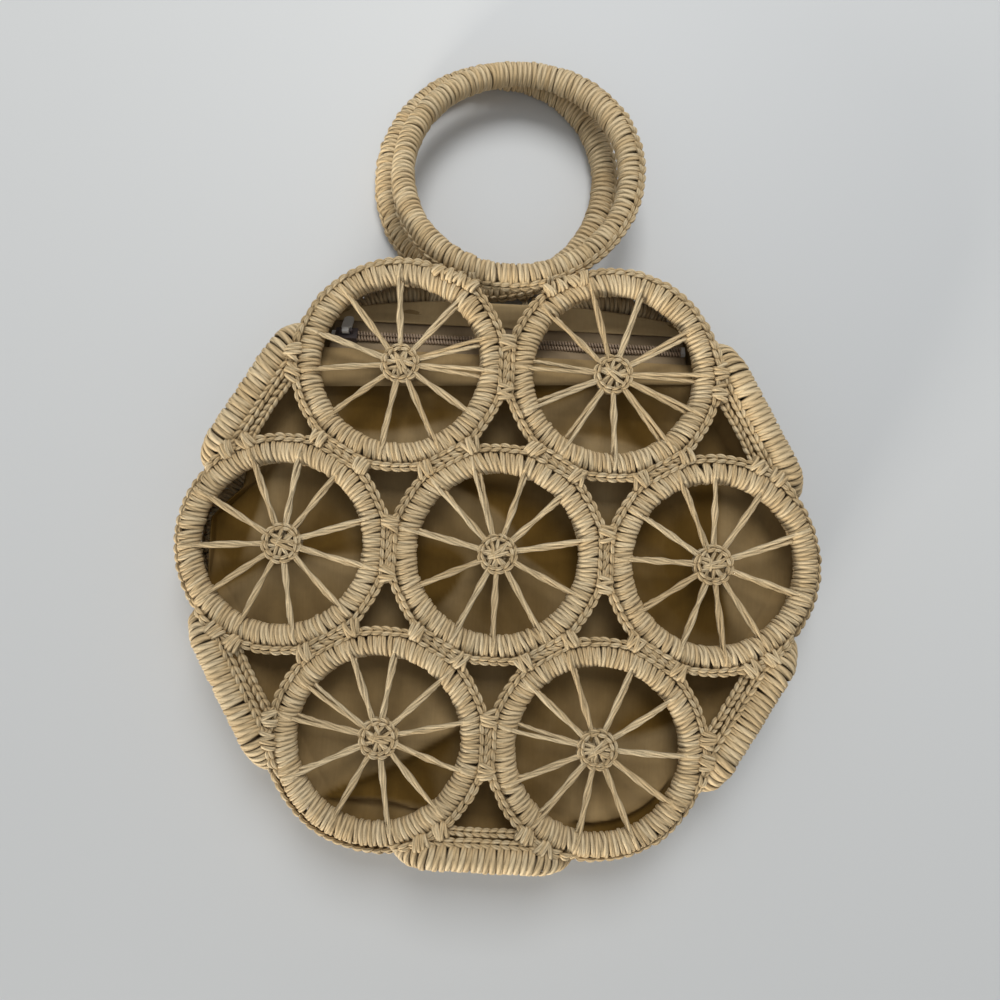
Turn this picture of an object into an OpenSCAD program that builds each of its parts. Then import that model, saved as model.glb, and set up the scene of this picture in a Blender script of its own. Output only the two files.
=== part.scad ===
// Hexagonal bag of wrapped hoops, lying on its back: +X right, +Y towards the handles, +Z out of the
// front face. The origin is on the ground, under the middle of the bag and its handles.

/* [Wheels] */
// Radius of a wheel's plastic hoop, to the middle of its tube
rim_r = 46.6; // [44:0.1:49]
// Radius of the plastic tube that a hoop is bent from
hoop_tube_r = 4.2; // [3.5:0.1:4.8]
// Thickness of the yarn wrapped round a hoop
wrap_t = 2.5; // [2:0.1:3]
// How far the chain-stitch edge stands out past the wrapping
edge_proud = 2.5; // [2.1:0.1:3]
// Radius of the rolled chain-stitch edge
edge_r = 2.2; // [1.9:0.1:2.6]
// Number of yarn spokes in a wheel
spoke_count = 11; // [8:1:14]
// Radius of a spoke of two twisted strands
spoke_r = 1.5; // [1.1:0.1:2]
// Radius of the crocheted hub
hub_r = 9.8; // [7:0.1:12]
// Thickness of the crocheted hub
hub_t = 4.4; // [3.5:0.1:5.5]

/* [Body] */
// Distance between the hoops of the front face and those of the back face
face_gap = 33.2; // [31:0.1:38]
// How far the yarn is pressed flat on the ground
press_flat = 0.5; // [0.4:0.1:0.7]
// How far each end of a side bar stops short of the middle of the wheel beside it
bar_inset = 8.4; // [7.6:0.1:11.5]
// How far a side bar's middle line stands out past the wrapping of the wheels
bar_out = 4.9; // [4.7:0.1:6]
// Thickness of the crocheted strips that close the corners
net_t = 3; // [2:0.1:3.6]
// Half the angle that a corner strip spans round its wheel
net_half_angle = 33; // [24:1:35]

/* [Yarn knots] */
// Radius of a knot that joins two pieces
knot_r = 3.4; // [3.1:0.1:3.8]
// Distance from the touching point of two wheels to each knot beside it
knot_side = 13; // [11:0.5:15]
// Radius of a plain cord that ties a handle
tie_r = 1.4; // [1.2:0.1:1.8]

/* [Handles] */
// Radius of a handle's hoop, to the middle of its tube
handle_r = 61.8; // [58:0.1:66]
// Radius of the tube that a handle is bent from
handle_tube_r = 4.7; // [4:0.1:5]
// Thickness of the yarn wrapped round a handle
handle_wrap_t = 2.2; // [2:0.1:2.8]
// Gap between the front handle's wrapping and the edges of the wheels
handle_gap = 1.5; // [0.6:0.1:3]
// How far the back handle lies to the left of the front one
handle_shift = 12; // [0:0.5:14]
// Distance from the middle of a handle to the near end of each of its two ties
tie_in = 22; // [19:0.5:25]
// Length of each tie that a handle swings on
tie_len = 11.5; // [10:0.5:12.5]

/* [Lining] */
// Thickness of the cotton lining
cloth_t = 1; // [0.8:0.1:1.2]
// How far the lining stops short of the outside of the outer wheels' wrapping
lining_in = 2.3; // [2.3:0.1:6.5]
// How far the lining's top edge lies below the tops of the upper wheels' wrapping
mouth_drop = 19.3; // [17:0.1:23]
// Length of the sloping mouth panel, from the front edge to the back edge
mouth_len = 40; // [38:0.5:44]
// Width of the hem along the front edge of the mouth
hem_w = 12.5; // [11:0.5:14]
// Width of the facing along the back edge of the mouth
facing_w = 6.5; // [5:0.5:8]

/* [Zipper] */
// How far the window of the zipper stops short of the lining's edge
window_in = 0.9; // [0.8:0.1:20]
// Width of each of the two rows of teeth
coil_w = 2.2; // [1.8:0.1:2.8]
// Height of the teeth
coil_h = 2; // [1.8:0.1:2.4]
// Thickness of the zipper's woven tape
tape_t = 0.8; // [0.6:0.1:1]
// Length of the slider
slider_len = 12; // [9:0.5:14]
// Thickness of the slider's plates
plate_t = 0.9; // [0.7:0.1:1.2]
// Length of the pull tab
pull_len = 13; // [11:0.5:16]
// Width of the pull tab
pull_w = 5.5; // [4.5:0.5:7]

/* [Hidden] */
$fn = 64;
// Clearances: between pieces that touch, round a hoop in its wrapping, and round what slides or turns
touch_gap = 0.3;
fit_gap = 0.15;
run_gap = 0.25;
pin_gap = 0.08;
PLACES = ["centre", "right", "upper_right", "upper_left", "left", "lower_left", "lower_right"];
SIDES = ["upper_right", "upper_left", "lower_left", "bottom", "lower_right"];
SIDE_ANGLES = [30, 150, 210, 270, 330];
// How far each front wheel is turned, as a share of the angle between two spokes
TURN_SHARES = [0.25, 0.6, 0.25, 0.75, 0.6, 0.4, 0.1];
// How far round its bend a side bar is tied, and how far up its window the slit of the zipper is
bar_knot_share = 0.4;
slit_share = 0.46;

// The wheels lie on a grid of equal triangles
wrap_r = hoop_tube_r + wrap_t;
wheel_r = rim_r + wrap_r;
edge_out = wheel_r + edge_proud;
edge_ring_r = edge_out - edge_r;
pitch = 2 * edge_out + touch_gap;
row_y = pitch * sin(60);
back_z = wrap_r - press_flat;
front_z = back_z + face_gap;
mid_z = (back_z + front_z) / 2;
spoke_step = 360 / spoke_count;
spoke_end = rim_r - hoop_tube_r - wrap_t / 2;

// The side bars are ovals that stand on edge, the height of the bag
bar_bend_r = face_gap / 2;
bar_straight = pitch - 2 * (bar_bend_r + wrap_r + bar_inset);
bar_d = row_y + wheel_r + bar_out;
bar_knot_x = bar_straight / 2 + bar_bend_r * bar_knot_share;
bar_knot_y = row_y + sqrt(pow(edge_out, 2) - pow(pitch / 2 - bar_knot_x, 2));
net_low = back_z + edge_r + touch_gap;
net_high = front_z - edge_r - touch_gap;

// Each handle stands on the two upper wheels, and swings about a line along X past its near side
handle_wrap_r = handle_tube_r + handle_wrap_t;
handle_out = handle_r + handle_wrap_r;
front_lift = wrap_r + touch_gap;
back_handle_z = handle_wrap_r - press_flat;
tie_leg_r = tie_r + touch_gap / 2;
tie_reach = norm([tie_leg_r, tie_leg_r]);
back_swing_z = tie_reach + touch_gap;
front_swing_z = front_z + front_lift;
front_handle_y = row_y + sqrt(pow(edge_out + handle_out + handle_gap, 2) - pow(pitch / 2, 2));
back_handle_y = row_y + sqrt(pow(edge_out + handle_out + touch_gap, 2) - pow(pitch / 2 - handle_shift, 2));
// From a handle's middle to its swing line, which clears the wrapping, when the two are a height apart
function swing_d(height) = sqrt(pow(handle_r + sqrt(pow(handle_wrap_r + tie_reach + touch_gap, 2)
    - pow(height, 2)), 2) - pow(tie_in, 2));
front_swing_y = front_handle_y - swing_d(front_lift);
back_swing_y = back_handle_y - swing_d(back_handle_z - back_swing_z);
// The front handle leans back until it lies on the back handle
lay_drop = front_z - back_handle_z - 2 * handle_wrap_r - touch_gap;
lay_angle = asin(lay_drop / (front_handle_y - front_swing_y + handle_r));

// The lining lies between the faces, and its mouth slopes from the front face to the back face
lining_out = wheel_r - lining_in;
mouth_up = wheel_r - mouth_drop;
lining_low = back_z + wrap_r + touch_gap;
lining_top = front_z - wrap_r - touch_gap;
mouth_angle = asin((lining_top - lining_low) / mouth_len);
mouth_front_y = row_y + mouth_up - mouth_len * cos(mouth_angle);
bag_reach = pitch + 2 * (edge_out + handle_out);
// The model is moved so that its origin is under the middle of its own outline on the ground
middle_y = (back_handle_y + handle_out - bar_d - wrap_r) / 2;

// Across the mouth v runs up the slope from its front edge, and w stands out from the cloth
slit_w = 4 * run_gap;
coil_v = hem_w + (mouth_len - hem_w - facing_w) * slit_share;
coil_out = slit_w / 2 + coil_w;
coil_top = coil_h - cloth_t;
stop_len = coil_w;
lap = coil_w;
// The zipper is as long as its window, which ends inside the lining's rounded corners
window_top = mouth_up - facing_w * cos(mouth_angle);
window_half = pitch / 2 + sqrt(pow(lining_out, 2) - pow(window_top, 2)) - window_in;
zip_len = 2 * (window_half - stop_len - run_gap);
slider_half = coil_out + run_gap + plate_t;
plate_w = coil_top + run_gap;
wedge_t = slit_w - 2 * run_gap;
wedge_len = slider_len / 3;
slider_x = slider_len / 2 + run_gap - zip_len / 2;
bridge_r = plate_t;
barrel_r = bridge_r + pin_gap + plate_t;
barrel_len = 4 * bridge_r;
bridge_w = plate_w + plate_t + barrel_r + run_gap;
bridge_leg_x = barrel_len / 2 + run_gap + bridge_r;
pull_t = 1.2;
pull_neck = barrel_r + run_gap;
pull_drop = asin((bridge_w - touch_gap - pull_t) / pull_len);

STRAW = [0.80, 0.72, 0.56];
KHAKI = [0.60, 0.52, 0.38];
TAPE = [0.58, 0.49, 0.44];

// Middle of a wheel on the grid: the centre one first, then round from the right
function wheel_at(i) = i == 0 ? [0, 0] : pitch * [cos(60 * (i - 1)), sin(60 * (i - 1))];

// The rolled edge of an upper wheel at a place across the bag
function edge_y(x) = row_y + sqrt(pow(edge_ring_r, 2) - pow(pitch / 2 - abs(x), 2));

module ring(r, tube) {
    rotate_extrude($fn = 96) translate([r, 0]) circle(tube);
}

// Presses a piece flat where it lies on the ground
module pressed() {
    intersection() {
        children();
        translate([-bag_reach, -bag_reach, 0]) cube(2 * bag_reach);
    }
}

// A yarn tube turned round the hollow for its hoop, with a rolled edge outside
module wheel_rim() {
    rotate_extrude($fn = 96) difference() {
        union() {
            translate([rim_r, 0]) circle(wrap_r);
            translate([edge_ring_r, 0]) circle(edge_r);
        }
        translate([rim_r, 0]) circle(hoop_tube_r + fit_gap);
    }
}

// One yarn work: the wrapped rim, its spokes and its hub
module wheel(i, z, turn) {
    color(STRAW) translate([wheel_at(i)[0], wheel_at(i)[1], z]) {
        wheel_rim();
        cylinder(r = hub_r, h = hub_t, center = true);
        for (k = [0 : spoke_count - 1])
            rotate([0, 0, spoke_step * (k + turn)]) rotate([0, 90, 0])
                translate([0, 0, hub_r / 2]) cylinder(r = spoke_r, h = spoke_end - hub_r / 2);
    }
}

module front_wheel(i) {
    wheel(i, front_z, TURN_SHARES[i]);
}

module back_wheel(i) {
    pressed() wheel(i, back_z, TURN_SHARES[6 - i]);
}

module hoop(i, z) {
    color("ivory") translate([wheel_at(i)[0], wheel_at(i)[1], z]) ring(rim_r, hoop_tube_r);
}

// An oval on edge: two straight runs along X, joined by a bend at each end
module oval(tube) {
    for (s = [-1, 1]) {
        translate([0, 0, s * bar_bend_r]) rotate([0, 90, 0])
            cylinder(r = tube, h = bar_straight, center = true);
        translate([s * bar_straight / 2, 0, 0]) rotate([90, 0, 0]) rotate([0, 0, -90 * s])
            rotate_extrude(angle = 180, $fn = 96) translate([bar_bend_r, 0]) circle(tube);
    }
}

module at_side(i) {
    rotate([0, 0, SIDE_ANGLES[i]]) translate([bar_d, 0, mid_z]) rotate([0, 0, 90]) children();
}

module side_bar(i) {
    color(STRAW) pressed() difference() {
        at_side(i) oval(wrap_r);
        at_side(i) oval(hoop_tube_r + fit_gap);
    }
}

module side_bar_cores() {
    color("ivory") for (i = [0 : len(SIDES) - 1]) at_side(i) oval(hoop_tube_r);
}

// Crocheted strips between the edges of the front and back wheels, round each corner of the bag
module corner_nets() {
    color(STRAW) for (i = [1 : 6])
        translate([wheel_at(i)[0], wheel_at(i)[1], net_low])
            rotate([0, 0, 60 * (i - 1) - net_half_angle])
                rotate_extrude(angle = 2 * net_half_angle, $fn = 96)
                    translate([wheel_r, 0]) square([net_t, net_high - net_low]);
}

// Two knots beside the place where two wheels touch
module knot_pair() {
    for (s = [-1, 1]) translate([0, s * knot_side, 0]) sphere(knot_r);
}

// The knots of one face: between all its wheels, and at both ends of each side bar
module seams(z) {
    color(STRAW) translate([0, 0, z]) {
        for (k = [0 : 5]) {
            rotate([0, 0, 60 * k]) translate([pitch / 2, 0, 0]) knot_pair();
            rotate([0, 0, 60 * k + 30]) translate([row_y, 0, 0]) rotate([0, 0, 90]) knot_pair();
        }
        for (a = SIDE_ANGLES, s = [-1, 1])
            rotate([0, 0, a]) translate([bar_knot_y, s * bar_knot_x, 0]) sphere(knot_r);
    }
}

// A cord along the swing line, from one place across the bag to another, with legs into a wheel's edge
module tie(x_from, x_to, y, z, wheel_z) {
    translate([x_from, y, z]) rotate([0, 90, 0]) cylinder(r = tie_r, h = x_to - x_from);
    for (x = [x_from, x_to]) {
        leg = [edge_y(x) - y, wheel_z - z];
        translate([x, y, z]) rotate([atan2(-leg[0], leg[1]), 0, 0])
            translate([0, 0, -tie_leg_r]) cylinder(r = tie_leg_r, h = norm(leg) + tie_leg_r);
    }
}

module handle_ties(x, y, z, wheel_z) {
    color(STRAW) {
        tie(x - tie_in - tie_len, x - tie_in, y, z, wheel_z);
        tie(x + tie_in, x + tie_in + tie_len, y, z, wheel_z);
    }
}

// The front handle's place, leaning back about its swing line
module at_front_handle() {
    translate([0, front_swing_y, front_swing_z]) rotate([-lay_angle, 0, 0])
        translate([0, front_handle_y - front_swing_y, -front_lift]) children();
}

module at_back_handle() {
    translate([-handle_shift, back_handle_y, back_handle_z]) children();
}

// The yarn round a handle, turned round the hollow for its core
module handle_yarn() {
    rotate_extrude($fn = 96) translate([handle_r, 0]) difference() {
        circle(handle_wrap_r);
        circle(handle_tube_r + fit_gap);
    }
}

module front_handle() {
    color(STRAW) at_front_handle() handle_yarn();
}

module front_handle_core() {
    color("ivory") at_front_handle() ring(handle_r, handle_tube_r);
}

module back_handle() {
    color(STRAW) pressed() at_back_handle() handle_yarn();
}

module back_handle_core() {
    color("ivory") at_back_handle() ring(handle_r, handle_tube_r);
}

// Outline of the lining, a reach outside the hexagon through the middles of the outer wheels
module lining_outline(reach) {
    for (k = [0 : 5]) {
        rotate(60 * k + 30) translate([0, -pitch / 2]) square([row_y + reach, pitch]);
        translate(wheel_at(k + 1)) circle(reach, $fn = 96);
    }
}

// Everything under the sloping mouth, a depth below its outer surface
module below_mouth(depth) {
    at_mouth() translate([-bag_reach, -bag_reach, -2 * bag_reach - depth]) cube(2 * bag_reach);
}

// The mouth's own frame: X across the bag, Y up the slope and Z out of the cloth
module at_mouth() {
    translate([0, mouth_front_y, lining_top]) rotate([-mouth_angle, 0, 0]) children();
}

// A flat layer of the pouch, some depth under the mouth
module lining_layer(z, depth) {
    intersection() {
        translate([0, 0, z]) linear_extrude(cloth_t) lining_outline(lining_out);
        below_mouth(depth);
    }
}

module lining_back() {
    color(KHAKI) lining_layer(lining_low, cloth_t + tape_t);
}

module lining_front() {
    color(KHAKI) lining_layer(lining_top - cloth_t, cloth_t);
}

module lining_side() {
    color(KHAKI) intersection() {
        translate([0, 0, lining_low + cloth_t])
            linear_extrude(lining_top - lining_low - 2 * cloth_t) difference() {
                lining_outline(lining_out);
                lining_outline(lining_out - cloth_t);
            }
        below_mouth(cloth_t);
    }
}

// A strip of the mouth between two places on its slope, some depth under its surface, trimmed to the
// lining's outline
module mouth_strip(v_from, v_to, half, depth, thick) {
    intersection() {
        at_mouth() translate([-half, v_from, -depth - thick]) cube([2 * half, v_to - v_from, thick]);
        translate([0, 0, lining_low]) linear_extrude(lining_top - lining_low)
            lining_outline(lining_out - depth);
    }
}

// The back part of the mouth, with the window that shows the zipper
module mouth_facing() {
    color(KHAKI) difference() {
        mouth_strip(hem_w, mouth_len, bag_reach, 0, cloth_t);
        at_mouth() translate([-window_half, hem_w - lap, -cloth_t - tape_t])
            cube([2 * window_half, mouth_len - hem_w - facing_w + lap, cloth_t + 2 * tape_t]);
    }
}

module mouth_hem() {
    color(KHAKI) mouth_strip(0, hem_w, bag_reach, 0, cloth_t);
}

// A woven tape under the mouth's cloth, from one place on the slope to another
module zip_tape(v_from, v_to) {
    color(TAPE) mouth_strip(v_from, v_to, window_half, cloth_t, tape_t);
}

module zip_tape_upper() {
    zip_tape(coil_v + slit_w / 2, mouth_len - facing_w + lap);
}

module zip_tape_lower() {
    zip_tape(hem_w - lap, coil_v - slit_w / 2);
}

// A bar on the tapes, rounded along its top: a row of teeth or a stop
module tooth_row(x_from, x_to, v_from, v_to) {
    at_mouth() translate([x_from, v_from, -cloth_t]) cube([x_to - x_from, v_to - v_from, coil_h]);
}

module zip_coil_upper() {
    color("rosybrown") tooth_row(-zip_len / 2, zip_len / 2, coil_v + slit_w / 2, coil_v + coil_out);
}

module zip_coil_lower() {
    color("rosybrown") tooth_row(-zip_len / 2, zip_len / 2, coil_v - coil_out, coil_v - slit_w / 2);
}

module zip_stops() {
    color("silver") for (s = [-1, 1])
        tooth_row(s * zip_len / 2 + min(s, 0) * stop_len, s * zip_len / 2 + max(s, 0) * stop_len,
            coil_v - coil_out, coil_v + coil_out);
}

// The slider's own frame: at the closed end of the zipper, on the cloth between the teeth
module at_slider() {
    at_mouth() translate([slider_x, coil_v, 0]) children();
}

module zip_slider() {
    color("dimgray") at_slider() {
        translate([-slider_len / 2, -slider_half, plate_w]) cube([slider_len, 2 * slider_half, plate_t]);
        translate([-slider_len / 2, -slider_half, -cloth_t - tape_t - run_gap - plate_t])
            cube([slider_len, 2 * slider_half, plate_t]);
        for (s = [0, 1]) mirror([0, s, 0])
            translate([-slider_len / 2, slider_half - plate_t, run_gap - cloth_t])
                cube([slider_len, plate_t, plate_w + cloth_t]);
        translate([slider_len / 2 - wedge_len, -wedge_t / 2, -cloth_t - tape_t - run_gap - plate_t / 2])
            cube([wedge_len, wedge_t, plate_w + cloth_t + tape_t + run_gap + plate_t]);
        translate([0, 0, bridge_w]) rotate([0, 90, 0])
            cylinder(r = bridge_r, h = 2 * bridge_leg_x, center = true);
        for (s = [-1, 1]) translate([s * bridge_leg_x, 0, plate_w + plate_t / 2]) {
            cylinder(r = bridge_r, h = bridge_w - plate_w - plate_t / 2);
            translate([0, 0, bridge_w - plate_w - plate_t / 2]) sphere(bridge_r);
        }
    }
}

// A barrel round the slider's bridge, and a tab that lies down across the cloth
module zip_pull() {
    color("lightgray") at_slider() translate([0, 0, bridge_w]) rotate([-pull_drop, 0, 0]) difference() {
        union() {
            rotate([0, 90, 0]) cylinder(r = barrel_r, h = barrel_len, center = true);
            translate([-barrel_len / 2, 0, -pull_t / 2]) cube([barrel_len, pull_neck + pull_w / 2, pull_t]);
            translate([0, pull_len - pull_w / 2, 0]) cylinder(d = pull_w, h = pull_t, center = true);
            translate([-pull_w / 2, pull_neck, -pull_t / 2])
                cube([pull_w, pull_len - pull_w / 2 - pull_neck, pull_t]);
        }
        rotate([0, 90, 0]) cylinder(r = bridge_r + pin_gap, h = 2 * barrel_len, center = true);
    }
}

// Moves the bag over its origin
module placed() {
    translate([0, -middle_y, 0]) children();
}

for (i = [0 : len(PLACES) - 1]) {
    placed() front_wheel(i);
    placed() hoop(i, front_z);
    placed() back_wheel(i);
    placed() hoop(i, back_z);
}
for (i = [0 : len(SIDES) - 1])
    placed() side_bar(i);
placed() side_bar_cores();
placed() corner_nets();
placed() seams(front_z);  // front_seams
placed() seams(back_z);  // back_seams
placed() front_handle();
placed() front_handle_core();
placed() handle_ties(0, front_swing_y, front_swing_z, front_z);  // front_handle_ties
placed() back_handle();
placed() back_handle_core();
placed() handle_ties(-handle_shift, back_swing_y, back_swing_z, back_z);  // back_handle_ties
placed() lining_back();
placed() lining_front();
placed() lining_side();
placed() mouth_facing();
placed() mouth_hem();
placed() zip_tape_upper();
placed() zip_tape_lower();
placed() zip_coil_upper();
placed() zip_coil_lower();
placed() zip_stops();
placed() zip_slider();
placed() zip_pull();
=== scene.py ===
"""Hexagonal bag of crocheted hoops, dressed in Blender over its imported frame.

All sizes are metres, in the frame of the solids: +X right, +Y towards the handles, +Z out of the front face.
"""

from __future__ import annotations

import logging
import math
from collections.abc import Callable
from dataclasses import dataclass, field
from enum import Enum
from typing import Protocol

import bpy
import numpy as np
from mathutils import Matrix, Vector


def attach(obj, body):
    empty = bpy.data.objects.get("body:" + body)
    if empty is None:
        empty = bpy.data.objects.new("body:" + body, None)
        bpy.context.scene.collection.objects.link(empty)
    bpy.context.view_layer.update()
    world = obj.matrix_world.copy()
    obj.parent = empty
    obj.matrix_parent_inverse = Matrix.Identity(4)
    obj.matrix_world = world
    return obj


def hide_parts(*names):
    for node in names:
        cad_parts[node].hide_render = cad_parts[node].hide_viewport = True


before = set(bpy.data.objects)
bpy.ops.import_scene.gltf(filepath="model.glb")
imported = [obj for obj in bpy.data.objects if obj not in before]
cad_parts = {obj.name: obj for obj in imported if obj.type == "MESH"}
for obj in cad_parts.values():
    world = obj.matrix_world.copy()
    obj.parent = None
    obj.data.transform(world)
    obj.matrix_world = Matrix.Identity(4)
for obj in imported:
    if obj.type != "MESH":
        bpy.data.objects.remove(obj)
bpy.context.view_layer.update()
LOG = logging.getLogger("bag")
Array = np.ndarray
Line = Callable[[Array], tuple[Array, Array]]
Point = tuple[float, float, float]
Material = bpy.types.Material
NodeTree = bpy.types.NodeTree
TAU = 2 * math.pi
UP = np.array([0.0, 0.0, 1.0])
BOTH = (-1, 1)


class Face(Enum):
    """The two faces of the bag, by the direction that each looks in along Z."""

    FRONT = 1
    BACK = -1

    @property
    def word(self) -> str:
        """The face's name, as the nodes have it."""
        return self.name.lower()


@dataclass(frozen=True)
class BagSizes:
    """Sizes that the solids have too, and those of the yarn on them."""

    pitch: float = 0.1119
    rim: float = 0.0474
    wrap: float = 0.0058
    bar_wrap: float = 0.0074
    edge_out: float = 0.0558
    front_z: float = 0.0394
    back_z: float = 0.0062
    shift_y: float = -0.0603026
    bar_middle: float = 0.155108
    bar_straight: float = 0.0485
    bar_bend: float = 0.0166
    handle: float = 0.0618
    handle_wrap: float = 0.0069
    front_handle_y: float = 0.209805
    back_handle_y: float = 0.213713
    handle_shift: float = 0.012
    back_handle_z: float = 0.0064
    front_swing: tuple[float, float] = (0.145396, 0.0464)
    back_swing: tuple[float, float] = (0.146902, 0.002492)
    lay_angle: float = math.radians(8.61259)
    lining_out: float = 0.051
    lining_low: float = 0.0132
    lining_top: float = 0.0324
    mouth_front_y: float = 0.0958175
    mouth_angle: float = math.radians(28.6854)
    mouth_len: float = 0.040
    mouth_in: float = 0.0008
    hem: float = 0.0125
    facing: float = 0.0065
    slit: float = 0.02216
    window: float = 0.0974792
    zip_len: float = 0.190058

    @property
    def row_y(self) -> float:
        """Distance between two rows of wheels."""
        return self.pitch * math.sin(math.radians(60))

    @property
    def middle_z(self) -> float:
        """Height of the middle of the bag."""
        return (self.front_z + self.back_z) / 2

    def height(self, face: Face) -> float:
        """Height of a face's hoops."""
        return self.front_z if face is Face.FRONT else self.back_z

    def wheel_at(self, place: int, height: float) -> Array:
        """Middle of a wheel: the centre one first, then round from the right one.

        Args:
            place: number of the wheel, 0 to 6.
            height: height of its hoop.

        Returns:
            Its point in the frame of the solids.
        """
        reach = self.pitch if place else 0.0
        return polar(reach, math.radians(60 * (place - 1)), height) + np.array([0.0, self.shift_y, 0.0])


def join(*axes: Array | float) -> Array:
    """Coordinates brought to one shape and joined into points."""
    return np.stack(np.broadcast_arrays(*axes), -1)


def polar(reach: Array | float, angle: Array | float, height: Array | float = 0.0) -> Array:
    """Points at a reach from the Z axis, an angle from +X and a height."""
    return join(reach * np.cos(angle), reach * np.sin(angle), height)


def compass(degrees: float) -> tuple[Array, Array]:
    """Direction at an angle from +X, and the one a quarter turn on."""
    return polar(1.0, math.radians(degrees)), polar(1.0, math.radians(degrees + 90))


def unit(vectors: Array) -> Array:
    """Each vector divided by its own length."""
    return vectors / np.linalg.norm(vectors, axis=-1, keepdims=True)


def ramp(past: Array, size: float) -> Array:
    """Share that grows evenly from 0 to 1 over a size."""
    return np.clip(past / size, 0, 1)


def ease(share: Array) -> Array:
    """A share with soft ends: three times its square less twice its cube."""
    return share * share * (3 - 2 * share)


def bell(off: Array, size: float) -> Array:
    """e to the power of minus the square of a distance over a size."""
    return np.exp(-((off / size) ** 2))


SIZES = BagSizes()
# HOME is the middle of the centre wheel at height 0. It is added to places that are given from there.
HOME = SIZES.wheel_at(0, 0.0)
PLACES = ("centre", "right", "upper_right", "upper_left", "left", "lower_left", "lower_right")
SIDES = {"upper_right": 30, "upper_left": 150, "lower_left": 210, "bottom": 270, "lower_right": 330}


def smooth(guides: Array, count: int) -> Array:
    """Rounds each row of guide points into a path that passes through them.

    Between two guides the path is the cubic whose slope at each guide is half the step between its
    neighbours.

    Args:
        guides: guide points, paths by points by 3.
        count: number of points of each path.

    Returns:
        Paths by count by 3.
    """
    spans = guides.shape[1] - 1
    first, last = 2 * guides[:, :1] - guides[:, 1:2], 2 * guides[:, -1:] - guides[:, -2:-1]
    padded = np.concatenate([first, guides, last], axis=1)
    place = np.linspace(0, spans, count)
    span = np.minimum(place.astype(int), spans - 1)
    past = (place - span)[:, None]
    a, b, c, d = (padded[:, span + k] for k in range(4))
    return 0.5 * (2 * b + (c - a) * past + (2 * a - 5 * b + 4 * c - d) * past**2
                  + (3 * b - a - 3 * c + d) * past**3)


def wander(along: Array, waves: int, seed: int) -> Array:
    """A slow wave that closes on itself: the sum of sines of whole numbers of turns over its usual size.

    Args:
        along: place round the loop, from 0 to 1.
        waves: the most turns that a sine makes.
        seed: picks the phases.

    Returns:
        Values mostly between -1 and 1.
    """
    phases = np.random.default_rng(seed).uniform(0, TAU, waves)
    turns = np.arange(1, waves + 1)
    return np.sin(TAU * along[..., None] * turns + phases).sum(-1) / math.sqrt(waves)


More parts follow.
